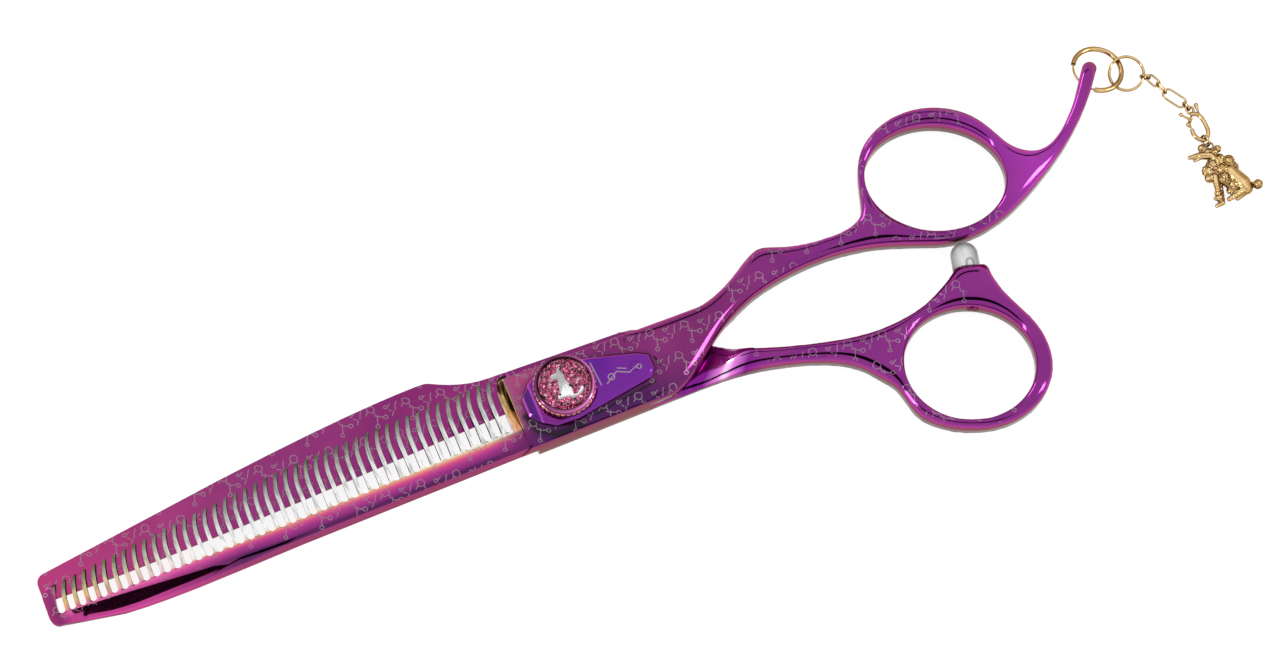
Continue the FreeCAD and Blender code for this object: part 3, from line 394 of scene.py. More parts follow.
def coated_steel(name, along, etched_to=None, dress=None, crevices=True):
    """Polished steel with a thin violet coat whose hue moves with the angle it is seen at.

    along lists (x in millimetres, colour seen square on); etched_to is where the line art ends; dress adds
    what one part has of its own, with painted highlights and painted shadows, and returns the colour and
    where it is bare; crevices darkens corners where little light gets in.
    """
    shader = Shader(name)
    x, _ = shader.plan()
    low, high = along[0][0], along[-1][0]
    colour = shader.ramp(shader.span(x, low * MM, high * MM),
                         [((at - low) / (high - low), tone) for at, tone in along])
    cloud = shader.span(shader.noise(90, 2.0), 0.35, 0.7, 0.0, 0.10)
    colour = shader.blend(cloud, colour, CLOUD_TINT)
    bare = 0.0
    if dress:
        colour, bare = dress(shader, colour)
    # the side walls of bare teeth are dull, or they would mirror one another
    wall = shader.both(bare, shader.inverse(facing_up(shader)))
    gloss = shader.inverse(shader.both(wall, shader.span(x, *HEEL_EDGE, 1.0, 0.0)))
    facing = shader.facing()
    tilt = shader.both(shader.span(facing, 0.3, 0.75), shader.inverse(bare))
    grazing = shader.ramp(facing, [(0.3, (0.80, 0.06, 0.42)), (0.55, (0.48, 0.05, 0.16)),
                                   (0.75, (0.24, 0.05, 0.06)), (1.0, (0.16, 0.15, 0.09))])
    colour = shader.blend(tilt, colour, grazing)
    roughness = shader.span(shader.noise(1400, 3.0), 0.3, 0.7, 0.075, 0.13)
    height = shader.noise(2600, 2.0, (0.15, 1, 1))
    if etched_to is not None:
        lines = shader.both(etching(shader), facing_up(shader))
        lines = shader.both(lines, shader.span(x, (etched_to - 1) * MM, etched_to * MM, 1, 0))
        lines = shader.both(lines, shader.inverse(bare))
        colour = shader.blend(shader.math("MULTIPLY", lines, 0.85), colour, ETCHED_TONE)
        roughness = shader.math("ADD", roughness, shader.math("MULTIPLY", lines, 0.33))
        height = shader.math("SUBTRACT", height, shader.math("MULTIPLY", lines, 4.0))
    if crevices:
        colour = shader.darken(colour, shader.open_sky(1.1 * MM, 1.3))
    coat = shader.math("MULTIPLY", COAT_WEIGHT, shader.inverse(bare))
    shader.set(Base_Color=colour, Metallic=gloss, Roughness=roughness, Coat_Weight=coat,
               Specular_IOR_Level=shader.math("MULTIPLY", 0.5, gloss), Coat_Roughness=0.06,
               Specular_Tint=(0.4, 0.3, 0.3, 1))
    shader.bump(height, 0.0000012)
    return shader.material


def root_tint_and_sheen(shader, colour):
    """A hot-coloured tint that runs from the ridge of the spine up to the tooth roots, partly the coat's
    colour and partly a painted reflection: dark at the ridge and below it, a painted highlight by the
    roots.
    """
    x, y = shader.plan()
    ridge = spine_ridge(shader, x)
    climb = shader.math("DIVIDE", shader.math("SUBTRACT", y, ridge),
                        shader.math("SUBTRACT", -3.3 * MM, ridge), clamp=True)
    # painted reflection: near-black at the ridge and below it, rising to a painted highlight by the roots
    hot = shader.ramp(climb, [(0.0, (0.09, 0.004, 0.09)), (0.14, (0.22, 0.012, 0.17)),
                              (0.45, (0.40, 0.03, 0.24)), (0.68, (0.66, 0.07, 0.24)),
                              (0.86, (0.80, 0.28, 0.22)), (1.0, (0.80, 0.68, 0.36))])
    pink = shader.ramp(climb, [(0.0, (0.50, 0.04, 0.25)), (0.5, (0.72, 0.10, 0.38)),
                               (1.0, (0.85, 0.22, 0.40))])
    tint = shader.blend(shader.span(x, -76 * MM, -60 * MM), pink, hot)
    on_blade = shader.both(shader.span(x, -92 * MM, -90 * MM),
                           shader.span(x, -16 * MM, -7.5 * MM, 1.0, 0.0))
    return shader.blend(on_blade, colour, tint)


def pivot_tones(shader, colour):
    """The lower side of the pivot body is a deeper violet, its upper left corner a warmer pink."""
    x, y = shader.plan()
    body = shader.both(shader.span(x, -12 * MM, -6 * MM), shader.span(x, 12 * MM, 24 * MM, 1.0, 0.0))
    low_side = shader.both(body, shader.span(y, 1.5 * MM, -5.5 * MM))
    colour = shader.blend(low_side, colour, (0.060, 0.001, 0.085, 1))
    corner = shader.both(shader.span(x, -9 * MM, -8 * MM), shader.span(x, -6 * MM, 3 * MM, 1, 0))
    corner = shader.both(corner, shader.span(y, -4 * MM, 5 * MM, 0.0, 0.8))
    return shader.blend(corner, colour, (0.42, 0.06, 0.19, 1))


def thrown_shade(shader, colour):
    """The shadows beside the plate and the dial."""
    for strokes, inner, outer in ((PLATE_SHADE, 0.10, 0.28), (DIAL_SHADE, 0.2, 0.9)):
        away = line_distance(shader, shader.position, [], strokes)
        dark = shader.span(away, inner * MM, outer * MM, 0.95, 0.0)
        colour = shader.blend(dark, colour, (0.008, 0.0005, 0.012, 1))
    return colour


def ground_teeth(shader):
    """Where the comb is bare ground steel, and its colours from the roots to the tips: its own tones under
    a painted reflection, bright at the roots and dark at the tips, with painted shade on the tooth walls.
    """
    x, y = shader.plan()
    bare = shader.both(shader.span(y, -3.5 * MM, -3.1 * MM), shader.span(x, -91.6 * MM, -91 * MM))
    bare = shader.both(bare, shader.span(x, -9.0 * MM, -8.8 * MM, 1.0, 0.0))
    root = 3.4 * MM
    tip = shader.math("ADD", shader.span(x, -93.5 * MM, -65 * MM, 1.8 * MM, 5.0 * MM),
                      shader.span(x, -65 * MM, -22 * MM, 0.0, 2.05 * MM))
    rise = shader.math("DIVIDE", shader.math("ADD", y, root), shader.math("ADD", tip, root), clamp=True)
    # painted reflection: each ramp runs from bright by the roots to dark at the tips
    golden = shader.ramp(rise, [(0.0, (0.80, 0.20, 0.30)), (0.25, (0.80, 0.50, 0.22)),
                                (0.5, (0.60, 0.55, 0.25)), (0.7, (0.30, 0.32, 0.20)),
                                (1.0, (0.14, 0.12, 0.04))])
    silvery = shader.ramp(rise, [(0.0, (0.92, 0.88, 0.80)), (0.1, (0.95, 0.95, 0.96)),
                                 (0.38, (0.86, 0.87, 0.86)), (0.7, (0.46, 0.48, 0.43)),
                                 (1.0, (0.13, 0.14, 0.09))])
    heel = shader.ramp(rise, [(0.0, (0.90, 0.45, 0.25)), (0.4, (0.75, 0.42, 0.12)),
                              (1.0, (0.36, 0.34, 0.16))])
    teeth = shader.blend(shader.span(x, -86 * MM, -66 * MM), golden, silvery)
    teeth = shader.blend(shader.span(x, -11.0 * MM, -10.2 * MM), teeth, heel)
    scratches = shader.span(shader.noise(2400, 3.0, (1, 0.1, 1)), 0.36, 0.56, 0.62, 1.0)
    # painted shade: the side walls of the teeth darken nearly to black; the streaks are the steel's own
    # scratches
    level = shader.math("MAXIMUM", facing_up(shader), shader.span(x, *HEEL_EDGE))
    lit = shader.both(scratches, shader.span(level, 0.0, 1.0, 0.03, 1.0))
    return bare, shader.darken(teeth, lit)


def toothed_dress(shader, colour):
    """The comb half's colours: hot tints with a painted reflection by the tooth roots, painted shadows
    beside the plate and the dial, bare teeth with a painted reflection, a deep pivot body.
    """
    colour = root_tint_and_sheen(shader, colour)
    colour = pivot_tones(shader, colour)
    colour = thrown_shade(shader, colour)
    bare, teeth = ground_teeth(shader)
    return shader.blend(bare, colour, teeth), bare


# A painted highlight, a bright band, crosses the thumb lever where the first number times x less the
# second times y is the third, in millimetres.
HIGHLIGHT_X, HIGHLIGHT_Y, HIGHLIGHT_AT = 0.74, 0.68, 24.2


def painted_lever_highlight(shader, colour):
    """A painted highlight: the bright band across the ramp where the thumb lever climbs from under the
    comb half.
    """
    x, y = shader.plan()
    ramp = shader.both(shader.span(x, 17 * MM, 19 * MM), shader.span(x, 30 * MM, 34 * MM, 1, 0))
    along = shader.math("SUBTRACT", shader.math("MULTIPLY", x, HIGHLIGHT_X),
                        shader.math("MULTIPLY", y, HIGHLIGHT_Y))
    away = shader.math("ABSOLUTE", shader.math("SUBTRACT", along, HIGHLIGHT_AT * MM))
    # painted highlight: pink-white at the middle of the band, fading to deep violet
    band = shader.ramp(shader.span(away, 0.2 * MM, 3.0 * MM), [
        (0.0, (1.0, 0.62, 0.95)), (0.25, (0.80, 0.22, 0.75)), (1.0, (0.22, 0.010, 0.26))])
    return shader.blend(ramp, colour, band), shader.math("MULTIPLY", ramp, 0.7)


def plate_dress(shader, colour):
    """Painted highlights and painted shade in bands across the plate's left end, and a tick and a plain
    scroll engraved on it.
    """
    x, _ = shader.plan()
    # painted highlights and painted shade in bands, standing for a bevel across the left end
    painted_facets = shader.ramp(shader.span(x, -7.4 * MM, -5.2 * MM), [
        (0.0, (0.45, 0.08, 0.50)), (0.16, (0.40, 0.06, 0.45)), (0.26, (0.07, 0.002, 0.14)),
        (0.74, (0.09, 0.003, 0.18)), (0.86, (0.42, 0.07, 0.48)), (1.0, (0.16, 0.008, 0.26))])
    colour = shader.blend(shader.span(x, -5.3 * MM, -5.1 * MM, 1.0, 0.0), colour, painted_facets)
    lines = line_distance(shader, shader.position, PLATE_RINGS, PLATE_STROKES)
    engraved = shader.both(shader.span(lines, 0.07 * MM, 0.12 * MM, 1.0, 0.0), facing_up(shader))
    return shader.blend(engraved, colour, (0.36, 0.28, 0.33, 1)), engraved


def plain_metal(name, dark, light, roughness, scale=900):
    """A bare or plated metal with a little colour and roughness variation."""
    shader = Shader(name)
    cloud = shader.noise(scale, 4.0)
    colour = shader.blend(shader.span(cloud, 0.3, 0.7), (*dark, 1), (*light, 1))
    fine = shader.noise(scale * 3, 2.0)
    shader.set(Base_Color=colour, Metallic=1.0,
               Roughness=shader.span(fine, 0.3, 0.7, roughness * 0.75, roughness * 1.3))
    shader.bump(fine, 0.000002)
    return shader.material


def gem(name, colour):
    """One tone of the glitter stones."""
    shader = Shader(name)
    tone = shader.noise(1500, 1.0)
    light = tuple(min(1.0, 1.3 * part + 0.04) for part in colour)
    shader.set(Base_Color=shader.blend(tone, (*colour, 1), (*light, 1)), Metallic=0.85,
               Roughness=shader.span(tone, 0.3, 0.7, 0.05, 0.12))
    return shader.material


def clear_cap():
    """Clear polished resin, faintly uneven."""
    shader = Shader("cap_clear")
    fine = shader.noise(1200, 2.0)
    shader.set(Base_Color=(1, 1, 1, 1), Transmission_Weight=1.0, IOR=1.33,
               Roughness=shader.span(fine, 0.3, 0.7, 0.014, 0.026))
    shader.bump(fine, 0.000002)
    return shader.material


TIP_PINK = (0.45, 0.030, 0.165)
MAGENTA = (0.235, 0.018, 0.150)
HEEL = (0.21, 0.004, 0.130)
PLUM = (0.17, 0.008, 0.125)
VIOLET = (0.20, 0.010, 0.200)
BRIGHT_VIOLET = (0.36, 0.025, 0.380)
INDIGO = (0.12, 0.003, 0.280)
comb_coat = coated_steel("comb_coat", [(-95, TIP_PINK), (-91, PLUM), (-60, MAGENTA), (-8, PLUM),
                                       (28, PLUM), (50, VIOLET), (78, VIOLET), (90, BRIGHT_VIOLET),
                                       (105, VIOLET)], 82, toothed_dress)
plain_coat = coated_steel("plain_coat", [(-95, TIP_PINK), (-55, MAGENTA), (-12, HEEL), (10, PLUM),
                                         (28, VIOLET), (50, VIOLET), (80, VIOLET)], 70, painted_lever_highlight, False)
plate_coat = coated_steel("plate_coat", [(-8, VIOLET), (4, INDIGO), (17, INDIGO)], dress=plate_dress)
steel = plain_metal("pivot_steel", (0.45, 0.45, 0.47), (0.66, 0.66, 0.68), 0.24)
spring_steel = plain_metal("spring_steel", (0.40, 0.40, 0.42), (0.58, 0.58, 0.6), 0.3)
bush_brass = plain_metal("bush_brass", (0.62, 0.42, 0.16), (0.78, 0.58, 0.28), 0.3)


def gold_plate(name, curly=False):
    """Bright gold plating with painted shade, darker in its crevices, and a painted reflection that makes
    it darker toward its outlines.
    """
    shader = Shader(name)
    cloud = shader.span(shader.noise(500, 4.0), 0.3, 0.7)
    colour = shader.blend(cloud, (0.74, 0.48, 0.18, 1), (0.98, 0.76, 0.42, 1))
    # painted reflection: bright where the gold faces the camera, dark bands toward its outline
    outline = shader.ramp(shader.facing(), [
        (0.0, (1, 1, 1)), (0.07, (0.92, 0.88, 0.84)), (0.22, (0.50, 0.40, 0.30)),
        (0.4, (0.22, 0.15, 0.10)), (0.62, (0.70, 0.60, 0.48)), (1.0, (0.30, 0.22, 0.14))])
    colour = shader.blend(1.0, colour, outline, "MULTIPLY")
    # painted shade in the crevices
    colour = shader.darken(colour, shader.open_sky(0.7 * MM, 1.0))
    height = shader.math("MULTIPLY", shader.noise(1500, 2.0), 0.06)
    if curly:
        cells = shader.node("ShaderNodeTexVoronoi")
        shader.put(shader.position, cells.inputs["Vector"])
        cells.inputs["Scale"].default_value = 1900
        coat = shader.node("ShaderNodeAttribute", attribute_name="curl").outputs["Fac"]
        curls = shader.both(cells.outputs["Distance"], coat)
        height = shader.math("SUBTRACT", height, curls)
        # painted shade in the grooves between the curls
        colour = shader.blend(shader.span(curls, 0.4, 0.8, 0.0, 0.7), colour, (0.16, 0.08, 0.02, 1))
    shader.set(Base_Color=colour, Metallic=1.0, Roughness=0.12, Specular_Tint=(0.7, 0.6, 0.5, 1))
    shader.bump(height, 0.00012)
    return shader.material


gold = gold_plate("gold")
silver = plain_metal("inlay_silver", (0.36, 0.37, 0.37), (0.62, 0.63, 0.64), 0.2, scale=260)
knurl = plain_metal("knurl", (0.34, 0.05, 0.24), (0.70, 0.34, 0.20), 0.16, scale=420)


def rim_metal():
    """The rim of the dial with its light painted on: a painted highlight along its crest, brighter toward
    the lower right, and painted shade at both edges.
    """
    shader = Shader("rim_metal")
    x, y = shader.plan()
    flat = shader.vector("MULTIPLY", shader.position, (1, 1, 0))
    reach = shader.vector("LENGTH", flat)
    # painted reflection of a rounded rim: dark at the inner and outer edges, bright along the crest
    crest = shader.ramp(shader.span(reach, 4.4 * MM, 5.45 * MM), [
        (0.0, (0.03, 0.008, 0.015)), (0.22, (0.10, 0.02, 0.05)), (0.5, (0.48, 0.15, 0.36)),
        (0.72, (0.30, 0.05, 0.22)), (0.9, (0.09, 0.02, 0.06)), (1.0, (0.20, 0.05, 0.12))])
    # painted light: brighter toward the lower right, darker toward the upper left
    side = shader.math("SUBTRACT", x, y)
    lit = shader.span(side, -5 * MM, 6.5 * MM, 0.35, 1.7)
    shader.set(Base_Color=shader.darken(crest, lit), Metallic=1.0, Roughness=0.12,
               Specular_Tint=(0.5, 0.4, 0.4, 1))
    shader.bump(shader.noise(1500, 2.0), 0.000002)
    return shader.material


# ---------------------------------------------------------------- the two halves
# Lengths in millimetres, as are the places along x.
SEAM = 12.5                      # the crisp blade and pivot end here, under the plate
OVERLAP = 0.6                    # and the rounded handle begins a little before
VOXEL = 0.25
ROUND_FROM, ROUND_TO = 12.5, 18.0
ROUNDING = 2.0                   # square millimetres over which the shape is smoothed
SOFTENING = 11.0                 # and over which its shading is
PUSH, PULL = 0.6, -0.625         # one smoothing step in and one out, so that nothing gets thinner
WIDEST, NARROW = 0.8, 0.5        # the widest rounding of an edge, and that of the pivot body
SPINE_ROUNDING = 0.4
BLADE_END = -9                   # the blade lies before it, the pivot body after it


def rounding(edge):
    """How far one edge of a half is rounded, in millimetres; 0 leaves it for the final easing."""
    ends = [vertex.co / MM for vertex in edge.verts]
    middle = (ends[0] + ends[1]) / 2
    level = any(abs(face.normal.z) > 0.9 for face in edge.link_faces)
    upright = [face for face in edge.link_faces if abs(face.normal.z) < 0.4]
    if not level or not upright:
        return 0
    under_plate = abs(middle.y) < 1.5 and middle.x < 18
    by_pivot = math.hypot(middle.x, middle.y) < 5.8
    outer_face = abs(middle.z) > 2.4
    if middle.x > -7.5 and outer_face and not under_plate and not by_pivot:
        return WIDEST if middle.x > 15 and middle.y < 5 else NARROW
    spine = middle.x < BLADE_END and middle.y < -3.9 and middle.z > 0.6
    if spine and upright[0].normal.y < -0.6:
        return WIDEST if middle.x < -62 else SPINE_ROUNDING
    return 0


def rounded_half(node, name):
    """A copy of one half with the rims of its outer face and its spine rounded."""
    obj = copy_of(node, name)
    flatten(obj)
    work = bmesh.new()
    work.from_mesh(obj.data)
    weights = work.edges.layers.float.new("bevel_weight_edge")
    for edge in work.edges:
        if len(edge.link_faces) == 2 and edge.calc_face_angle(0) > math.radians(CREASE):
            edge[weights] = rounding(edge) / WIDEST
    work.to_mesh(obj.data)
    work.free()
    bevel = obj.modifiers.new("rims", "BEVEL")
    bevel.width = WIDEST * MM
    bevel.segments = 4
    bevel.limit_method = "WEIGHT"
    bevel.use_clamp_overlap = False
    apply_modifiers(obj)
    return obj


def sharpen_ridge(mesh):
    """Keeps the shading crisp at the ridge along the comb half's spine."""
    for edge in mesh.edges:
        start, end = (mesh.vertices[number].co / MM for number in edge.vertices)
        middle = (start + end) / 2
        along_blade = abs(end.x - start.x) > 4 * abs(end.y - start.y)
        if along_blade and middle.x < BLADE_END and -6.6 < middle.y < -3.7 and middle.z > 1.8:
            edge.use_edge_sharp = True


def blade_part(node, name):
    """The blade and pivot of one half, with eased edges and a crisp ridge along the spine."""
    obj = rounded_half(node, name)
    cut(obj, (SEAM + OVERLAP) * MM, keep_left=True)
    ease_edges(obj, 0.07)
    shade(obj, 22)
    sharpen_ridge(obj.data)
    return obj


class Skin:
    """The vertices and edges of a mesh as arrays, for smoothing over the surface."""

    def __init__(self, mesh):
        self.count = len(mesh.vertices)
        ends = np.zeros(len(mesh.edges) * 2, int)
        mesh.edges.foreach_get("vertices", ends)
        ends = ends.reshape(-1, 2)
        self.here = np.concatenate([ends[:, 0], ends[:, 1]])
        self.there = np.concatenate([ends[:, 1], ends[:, 0]])
        self.valence = np.bincount(self.here, minlength=self.count)
        self.places = np.zeros(self.count * 3)
        mesh.vertices.foreach_get("co", self.places)
        self.places = self.places.reshape(-1, 3)

    def spread(self, values, share):
        """Moves each vertex's values by share of the way to the mean of its neighbours'."""
        for axis in range(3):
            column = values[:, axis]
            near = np.bincount(self.here, weights=column[self.there], minlength=self.count)
            values[:, axis] += share * (near / self.valence - column)

    def rounded_share(self):
        """0 at the blade end, rising to 1 where the handle is fully rounded."""
        share = np.clip((self.places[:, 0] / MM - ROUND_FROM) / (ROUND_TO - ROUND_FROM), 0, 1)
        return share * share * (3 - 2 * share)


def soften_normals(mesh, rounds):
    """Lets the shading turn more gently over the edges than the mesh itself does."""
    skin = Skin(mesh)
    share = 0.5 * skin.rounded_share()
    normals = np.zeros(skin.count * 3)
    mesh.vertex_normals.foreach_get("vector", normals)
    normals = normals.reshape(-1, 3)
    for _ in range(rounds):
        skin.spread(normals, share)
    normals /= np.linalg.norm(normals, axis=1)[:, None]
    mesh.normals_split_custom_set_from_vertices(normals.tolist())


def handle_part(node, name):
    """The handle of one half, remeshed and rounded all over without thinning it."""
    obj = rounded_half(node, name)
    cut(obj, (SEAM - OVERLAP) * MM, keep_left=False)
    remesh = obj.modifiers.new("skin", "REMESH")
    remesh.mode = "VOXEL"
    remesh.voxel_size = VOXEL * MM
    apply_modifiers(obj)
    skin = Skin(obj.data)
    share = skin.rounded_share()
    for _ in range(int(ROUNDING / VOXEL ** 2)):
        skin.spread(skin.places, PUSH * share)
        skin.spread(skin.places, PULL * share)
    obj.data.vertices.foreach_set("co", skin.places.ravel())
    cut(obj, SEAM * MM, keep_left=False)
    shade(obj, 60)
    soften_normals(obj.data, int(SOFTENING / VOXEL ** 2))
    return obj


finish_piece(blade_part("comb_blade_half", "comb_blade"), comb_coat, "finger_half", "comb_steel",
             "comb_blade_half")
finish_piece(handle_part("comb_blade_half", "finger_handle"), comb_coat, "finger_half", "comb_steel")
finish_piece(blade_part("solid_blade_half", "plain_blade"), plain_coat, "thumb_half", "solid_steel",
             "solid_blade_half")
finish_piece(handle_part("solid_blade_half", "thumb_handle"), plain_coat, "thumb_half", "solid_steel")


# ---------------------------------------------------------------- pivot and dial
def simple_piece(node, name, material, body, slot, width=0.04, segments=2):
    """A CAD node with its edges eased by width, in millimetres."""
    finish_piece(bevelled(node, name, width, segments), material, body, slot, node)


simple_piece("pivot_screw", "pivot_screw_turned", steel, "finger_half", "pivot_steel")
simple_piece("plate_locating_pin", "plate_pin", plate_coat, "finger_half", "plate_steel")
simple_piece("disc_spring", "coned_spring", spring_steel, "finger_half", "spring_steel", 0.02)
simple_piece("tension_plate", "plate", plate_coat, "finger_half", "plate_steel", 0.06)
simple_piece("thrust_washer", "thrust_disc", bush_brass, "finger_half", "bush")
simple_piece("pivot_bush", "bush_sleeve", bush_brass, "thumb_half", "bush")
simple_piece("adjuster_knob", "dial_body", knurl, "dial", "dial_steel", 0.05)
simple_piece("knob_bezel", "dial_rim", rim_metal(), "dial", "bright_rim", 0.22, 4)
simple_piece("dog_inlay", "dial_dog", silver, "dial", "silver", 0.03)


def washer_material():
    """Off-white plastic with a fine grain."""
    shader = Shader("washer_polymer")
    fine = shader.noise(1800, 3.0)
    shader.set(Base_Color=shader.blend(fine, (0.78, 0.78, 0.75, 1), (0.88, 0.88, 0.86, 1)),
               Roughness=0.45)
    shader.bump(fine, 0.00001)
    return shader.material


simple_piece("friction_washer", "friction_disc", washer_material(), "thumb_half", "washer_polymer")


# ---------------------------------------------------------------- glitter in the dial
STONE_TONES = [((0.34, 0.012, 0.07), 0.36), ((0.60, 0.08, 0.20), 0.28), ((0.10, 0.003, 0.02), 0.24),
               ((0.85, 0.42, 0.55), 0.12)]       # colours and their shares
STONE_PITCH = 0.56 * MM
STONE_JITTER = 0.05 * MM
STONE_TILT = 0.6
STONE_SIDES = 6
ROW_SPACING = 0.87 * STONE_PITCH


def stone_turn():
    """A random tilt both ways and a random turn."""
    sideways = Matrix.Rotation(rng.uniform(-STONE_TILT, STONE_TILT), 3, "X")
    forward = Matrix.Rotation(rng.uniform(-STONE_TILT, STONE_TILT), 3, "Y")
    return sideways @ forward @ Matrix.Rotation(rng.uniform(0, 1), 3, "Z")


def add_stone(vertices, faces, centre, size, turn):
    """A six-sided stone that narrows to a flat table."""
    base = len(vertices)
    for ring, level in ((1.0, 0.0), (0.6, 0.45)):
        for corner in range(STONE_SIDES):
            angle = corner * 2 * math.pi / STONE_SIDES
            spot = Vector((ring * math.cos(angle), ring * math.sin(angle), level)) * size
            vertices.append(centre + turn @ spot)
    table = base + STONE_SIDES
    faces.append([table + corner for corner in range(STONE_SIDES)])
    for corner in range(STONE_SIDES):
        after = (corner + 1) % STONE_SIDES
        faces.append([base + corner, base + after, table + after, table + corner])


def glitter():
    """Small cut stones packed over the disc, each tipped its own way, with none above the dog."""
    low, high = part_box("glitter_disc")
    reach = (high.x - low.x) / 2 - 0.12 * MM
    shares = [share for _, share in STONE_TONES]
    dog = BVHTree.FromObject(bpy.data.objects["dial_dog"], bpy.context.evaluated_depsgraph_get())
    stones = [([], []) for _ in STONE_TONES]
    rows = int(reach / STONE_PITCH) + 1
    for row in range(-rows, rows + 1):
        for column in range(-rows, rows + 1):
            x = (column + 0.5 * (row % 2)) * STONE_PITCH + rng.uniform(-STONE_JITTER, STONE_JITTER)
            y = row * ROW_SPACING + rng.uniform(-STONE_JITTER, STONE_JITTER)
            above = dog.ray_cast(Vector((x, y, high.z + 5 * MM)), Vector((0, 0, -1)))[0]
            if math.hypot(x, y) > reach or above:
                continue
            vertices, faces = rng.choices(stones, shares)[0]
            size = rng.uniform(0.27, 0.36) * MM
            centre = Vector((x, y, high.z + 0.02 * MM))
            add_stone(vertices, faces, centre, size, stone_turn())
    for number, (colour, _) in enumerate(STONE_TONES):
        obj = mesh_object(f"glitter_stones_{number}", *stones[number])
        finish_piece(obj, gem(f"gem_{number}", colour), "dial", "glitter")


glitter()
simple_piece("glitter_disc", "dial_disc", plain_metal("disc_foil", (0.35, 0.04, 0.14),
                                                      (0.7, 0.2, 0.4), 0.3), "dial", "glitter")
simple_piece("clear_lens", "dial_cap", clear_cap(), "dial", "clear_lens", 0.05, 3)


POST_RADIUS = 0.6                # of the stem that shows inside the bumper, in millimetres
POST_DIRECTION = Vector((0.38, 0.92, 0))


def silicone():
    """Cloudy clear rubber with painted shade, greyer toward its outline, and the outline of the stem
    inside it.
    """
    shader = Shader("silicone")
    # painted shade: the dome greys toward its outline
    tone = shader.ramp(shader.facing(), [(0.0, (0.80, 0.81, 0.81)), (0.2, (0.62, 0.63, 0.63)),
                                         (0.5, (0.32, 0.33, 0.32)), (1.0, (0.50, 0.51, 0.50))])
    streak = shader.span(shader.noise(500, 2.0, (1, 0.3, 1)), 0.35, 0.65, 0.62, 1.0)
    low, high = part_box("bumper")
    middle = (Vector(low) + Vector(high)) / 2 / MM
    foot = middle - POST_DIRECTION * 3
    head = middle + POST_DIRECTION * 0.75
    away = line_distance(shader, shader.position, [], [(foot, head)])
    post = shader.math("ABSOLUTE", shader.math("SUBTRACT", away, POST_RADIUS * MM))
    streak = shader.both(streak, shader.span(post, 0.08 * MM, 0.3 * MM, 0.45, 1.0))
    shader.set(Base_Color=shader.darken(tone, streak), IOR=1.41, Transmission_Weight=0.35,
               Roughness=0.12)
    shader.bump(streak, 0.00001)
    return shader.material


simple_piece("bumper", "bumper_dome", silicone(), "thumb_half", "clear_silicone", 0.1, 3)


# ---------------------------------------------------------------- chain and charm
# CAD node, name of its piece, body
CHAIN = [("hoop_wire", "hoop_thin", "hoop"), ("hoop_tube", "hoop_thick", "hoop"),
         ("split_ring", "ring_coils", "split_ring"), ("chain_end_ring", "end_ring_wire", "end_ring"),
         ("chain_link_flat", "link_one", "link_flat"),
         ("chain_link_upright", "link_two", "link_upright"),
         ("chain_link_large", "link_large_oval", "link_large"),
         ("clasp_ring", "clasp_ring_wire", "clasp_ring"), ("lobster_clasp", "clasp_body", "clasp"),
         ("clasp_gate", "clasp_lever", "clasp_gate"), ("charm_ring", "charm_ring_wire", "charm_ring")]
for node, name, body in CHAIN:
    wire = copy_of(node, name)
    shade(wire, 50)
    finish_piece(wire, gold, body, "gold", node)


# The poodle from the middle of its loop, in millimetres: curls as a centre and a radius, limbs
# as two centres and two radii.
CURLS = [
    ((-1.45, 0.1, 0.1), 0.78), ((-0.95, -0.85, -0.1), 0.92), ((0.0, -1.35, 0.12), 0.92),
    ((1.05, -1.0, -0.08), 0.75), ((-0.96, -3.35, 0.05), 1.25), ((-2.2, -4.06, -0.07), 1.15),
    ((-2.5, -5.33, 0.09), 0.95), ((-1.41, -5.13, -0.1), 1.16), ((0.47, -3.02, -0.06), 1.25),
    ((1.76, -3.77, 0.08), 1.2), ((0.27, -4.72, 0.03), 1.3), ((1.93, -5.08, -0.1), 1.22),
    ((-0.07, -6.17, 0.07), 1.15), ((-0.6, -6.6, 0.2), 0.9), ((0.1, -7.5, 0.05), 0.95),
    ((0.83, -8.02, -0.05), 1.15), ((-0.2, -8.8, 0.1), 0.75), ((0.3, -9.5, 0.1), 0.8),
    ((-2.4, -8.5, 0.2), 0.75), ((-2.55, -9.4, 0.1), 0.72), ((4.7, -9.6, 0.04), 0.95),
]
LIMBS = [
    ((-0.7, -1.52, 0), 0.9, (-2.2, -1.03, 0), 0.7),
    ((-1.9, -0.93, 0), 0.58, (-4.1, -0.66, 0), 0.4),
    ((-2.0, -1.37, 0), 0.38, (-3.6, -1.52, 0), 0.28),
    ((-0.6, -1.83, 0.5), 0.58, (-0.33, -2.9, 0.5), 0.72),
    ((1.3, -5.5, 0), 1.3, (2.4, -8.3, 0), 1.45),
    ((2.4, -8.3, 0), 1.45, (2.6, -9.5, 0), 1.15),
    ((3.1, -8.9, 0), 0.5, (4.55, -9.45, 0), 0.4),
    ((-1.7, -5.6, 0.5), 0.68, (-2.4, -8.6, 0.5), 0.5),
    ((-2.4, -9.35, 0.45), 0.5, (-3.3, -9.3, 0.45), 0.38),
    ((-1.0, -5.9, -0.5), 0.66, (-2.0, -9.6, -0.45), 0.5),
    ((-2.2, -10.25, -0.35), 0.48, (-3.4, -10.38, -0.35), 0.38),
    ((2.2, -9.5, 0.3), 0.78, (-1.1, -10.25, 0.35), 0.46),
    ((2.6, -9.7, -0.3), 0.75, (0.5, -10.45, -0.35), 0.5),
]


POODLE_VOXEL = 0.09              # these lengths are in millimetres
POODLE_LOOP = (4.38, 0.78)       # from the left and the top of the charm to the middle of its loop
LOOP_RADIUS, LOOP_WIRE = 0.6, 0.18
LIMB_STEPS = 6
CURL_REACH = 1.12                # of a curl's radius, within which the coat is raised
CURL_LIFT, CURL_MIDDLE = 0.26, 0.32
CURL_DENSITY = 2.3


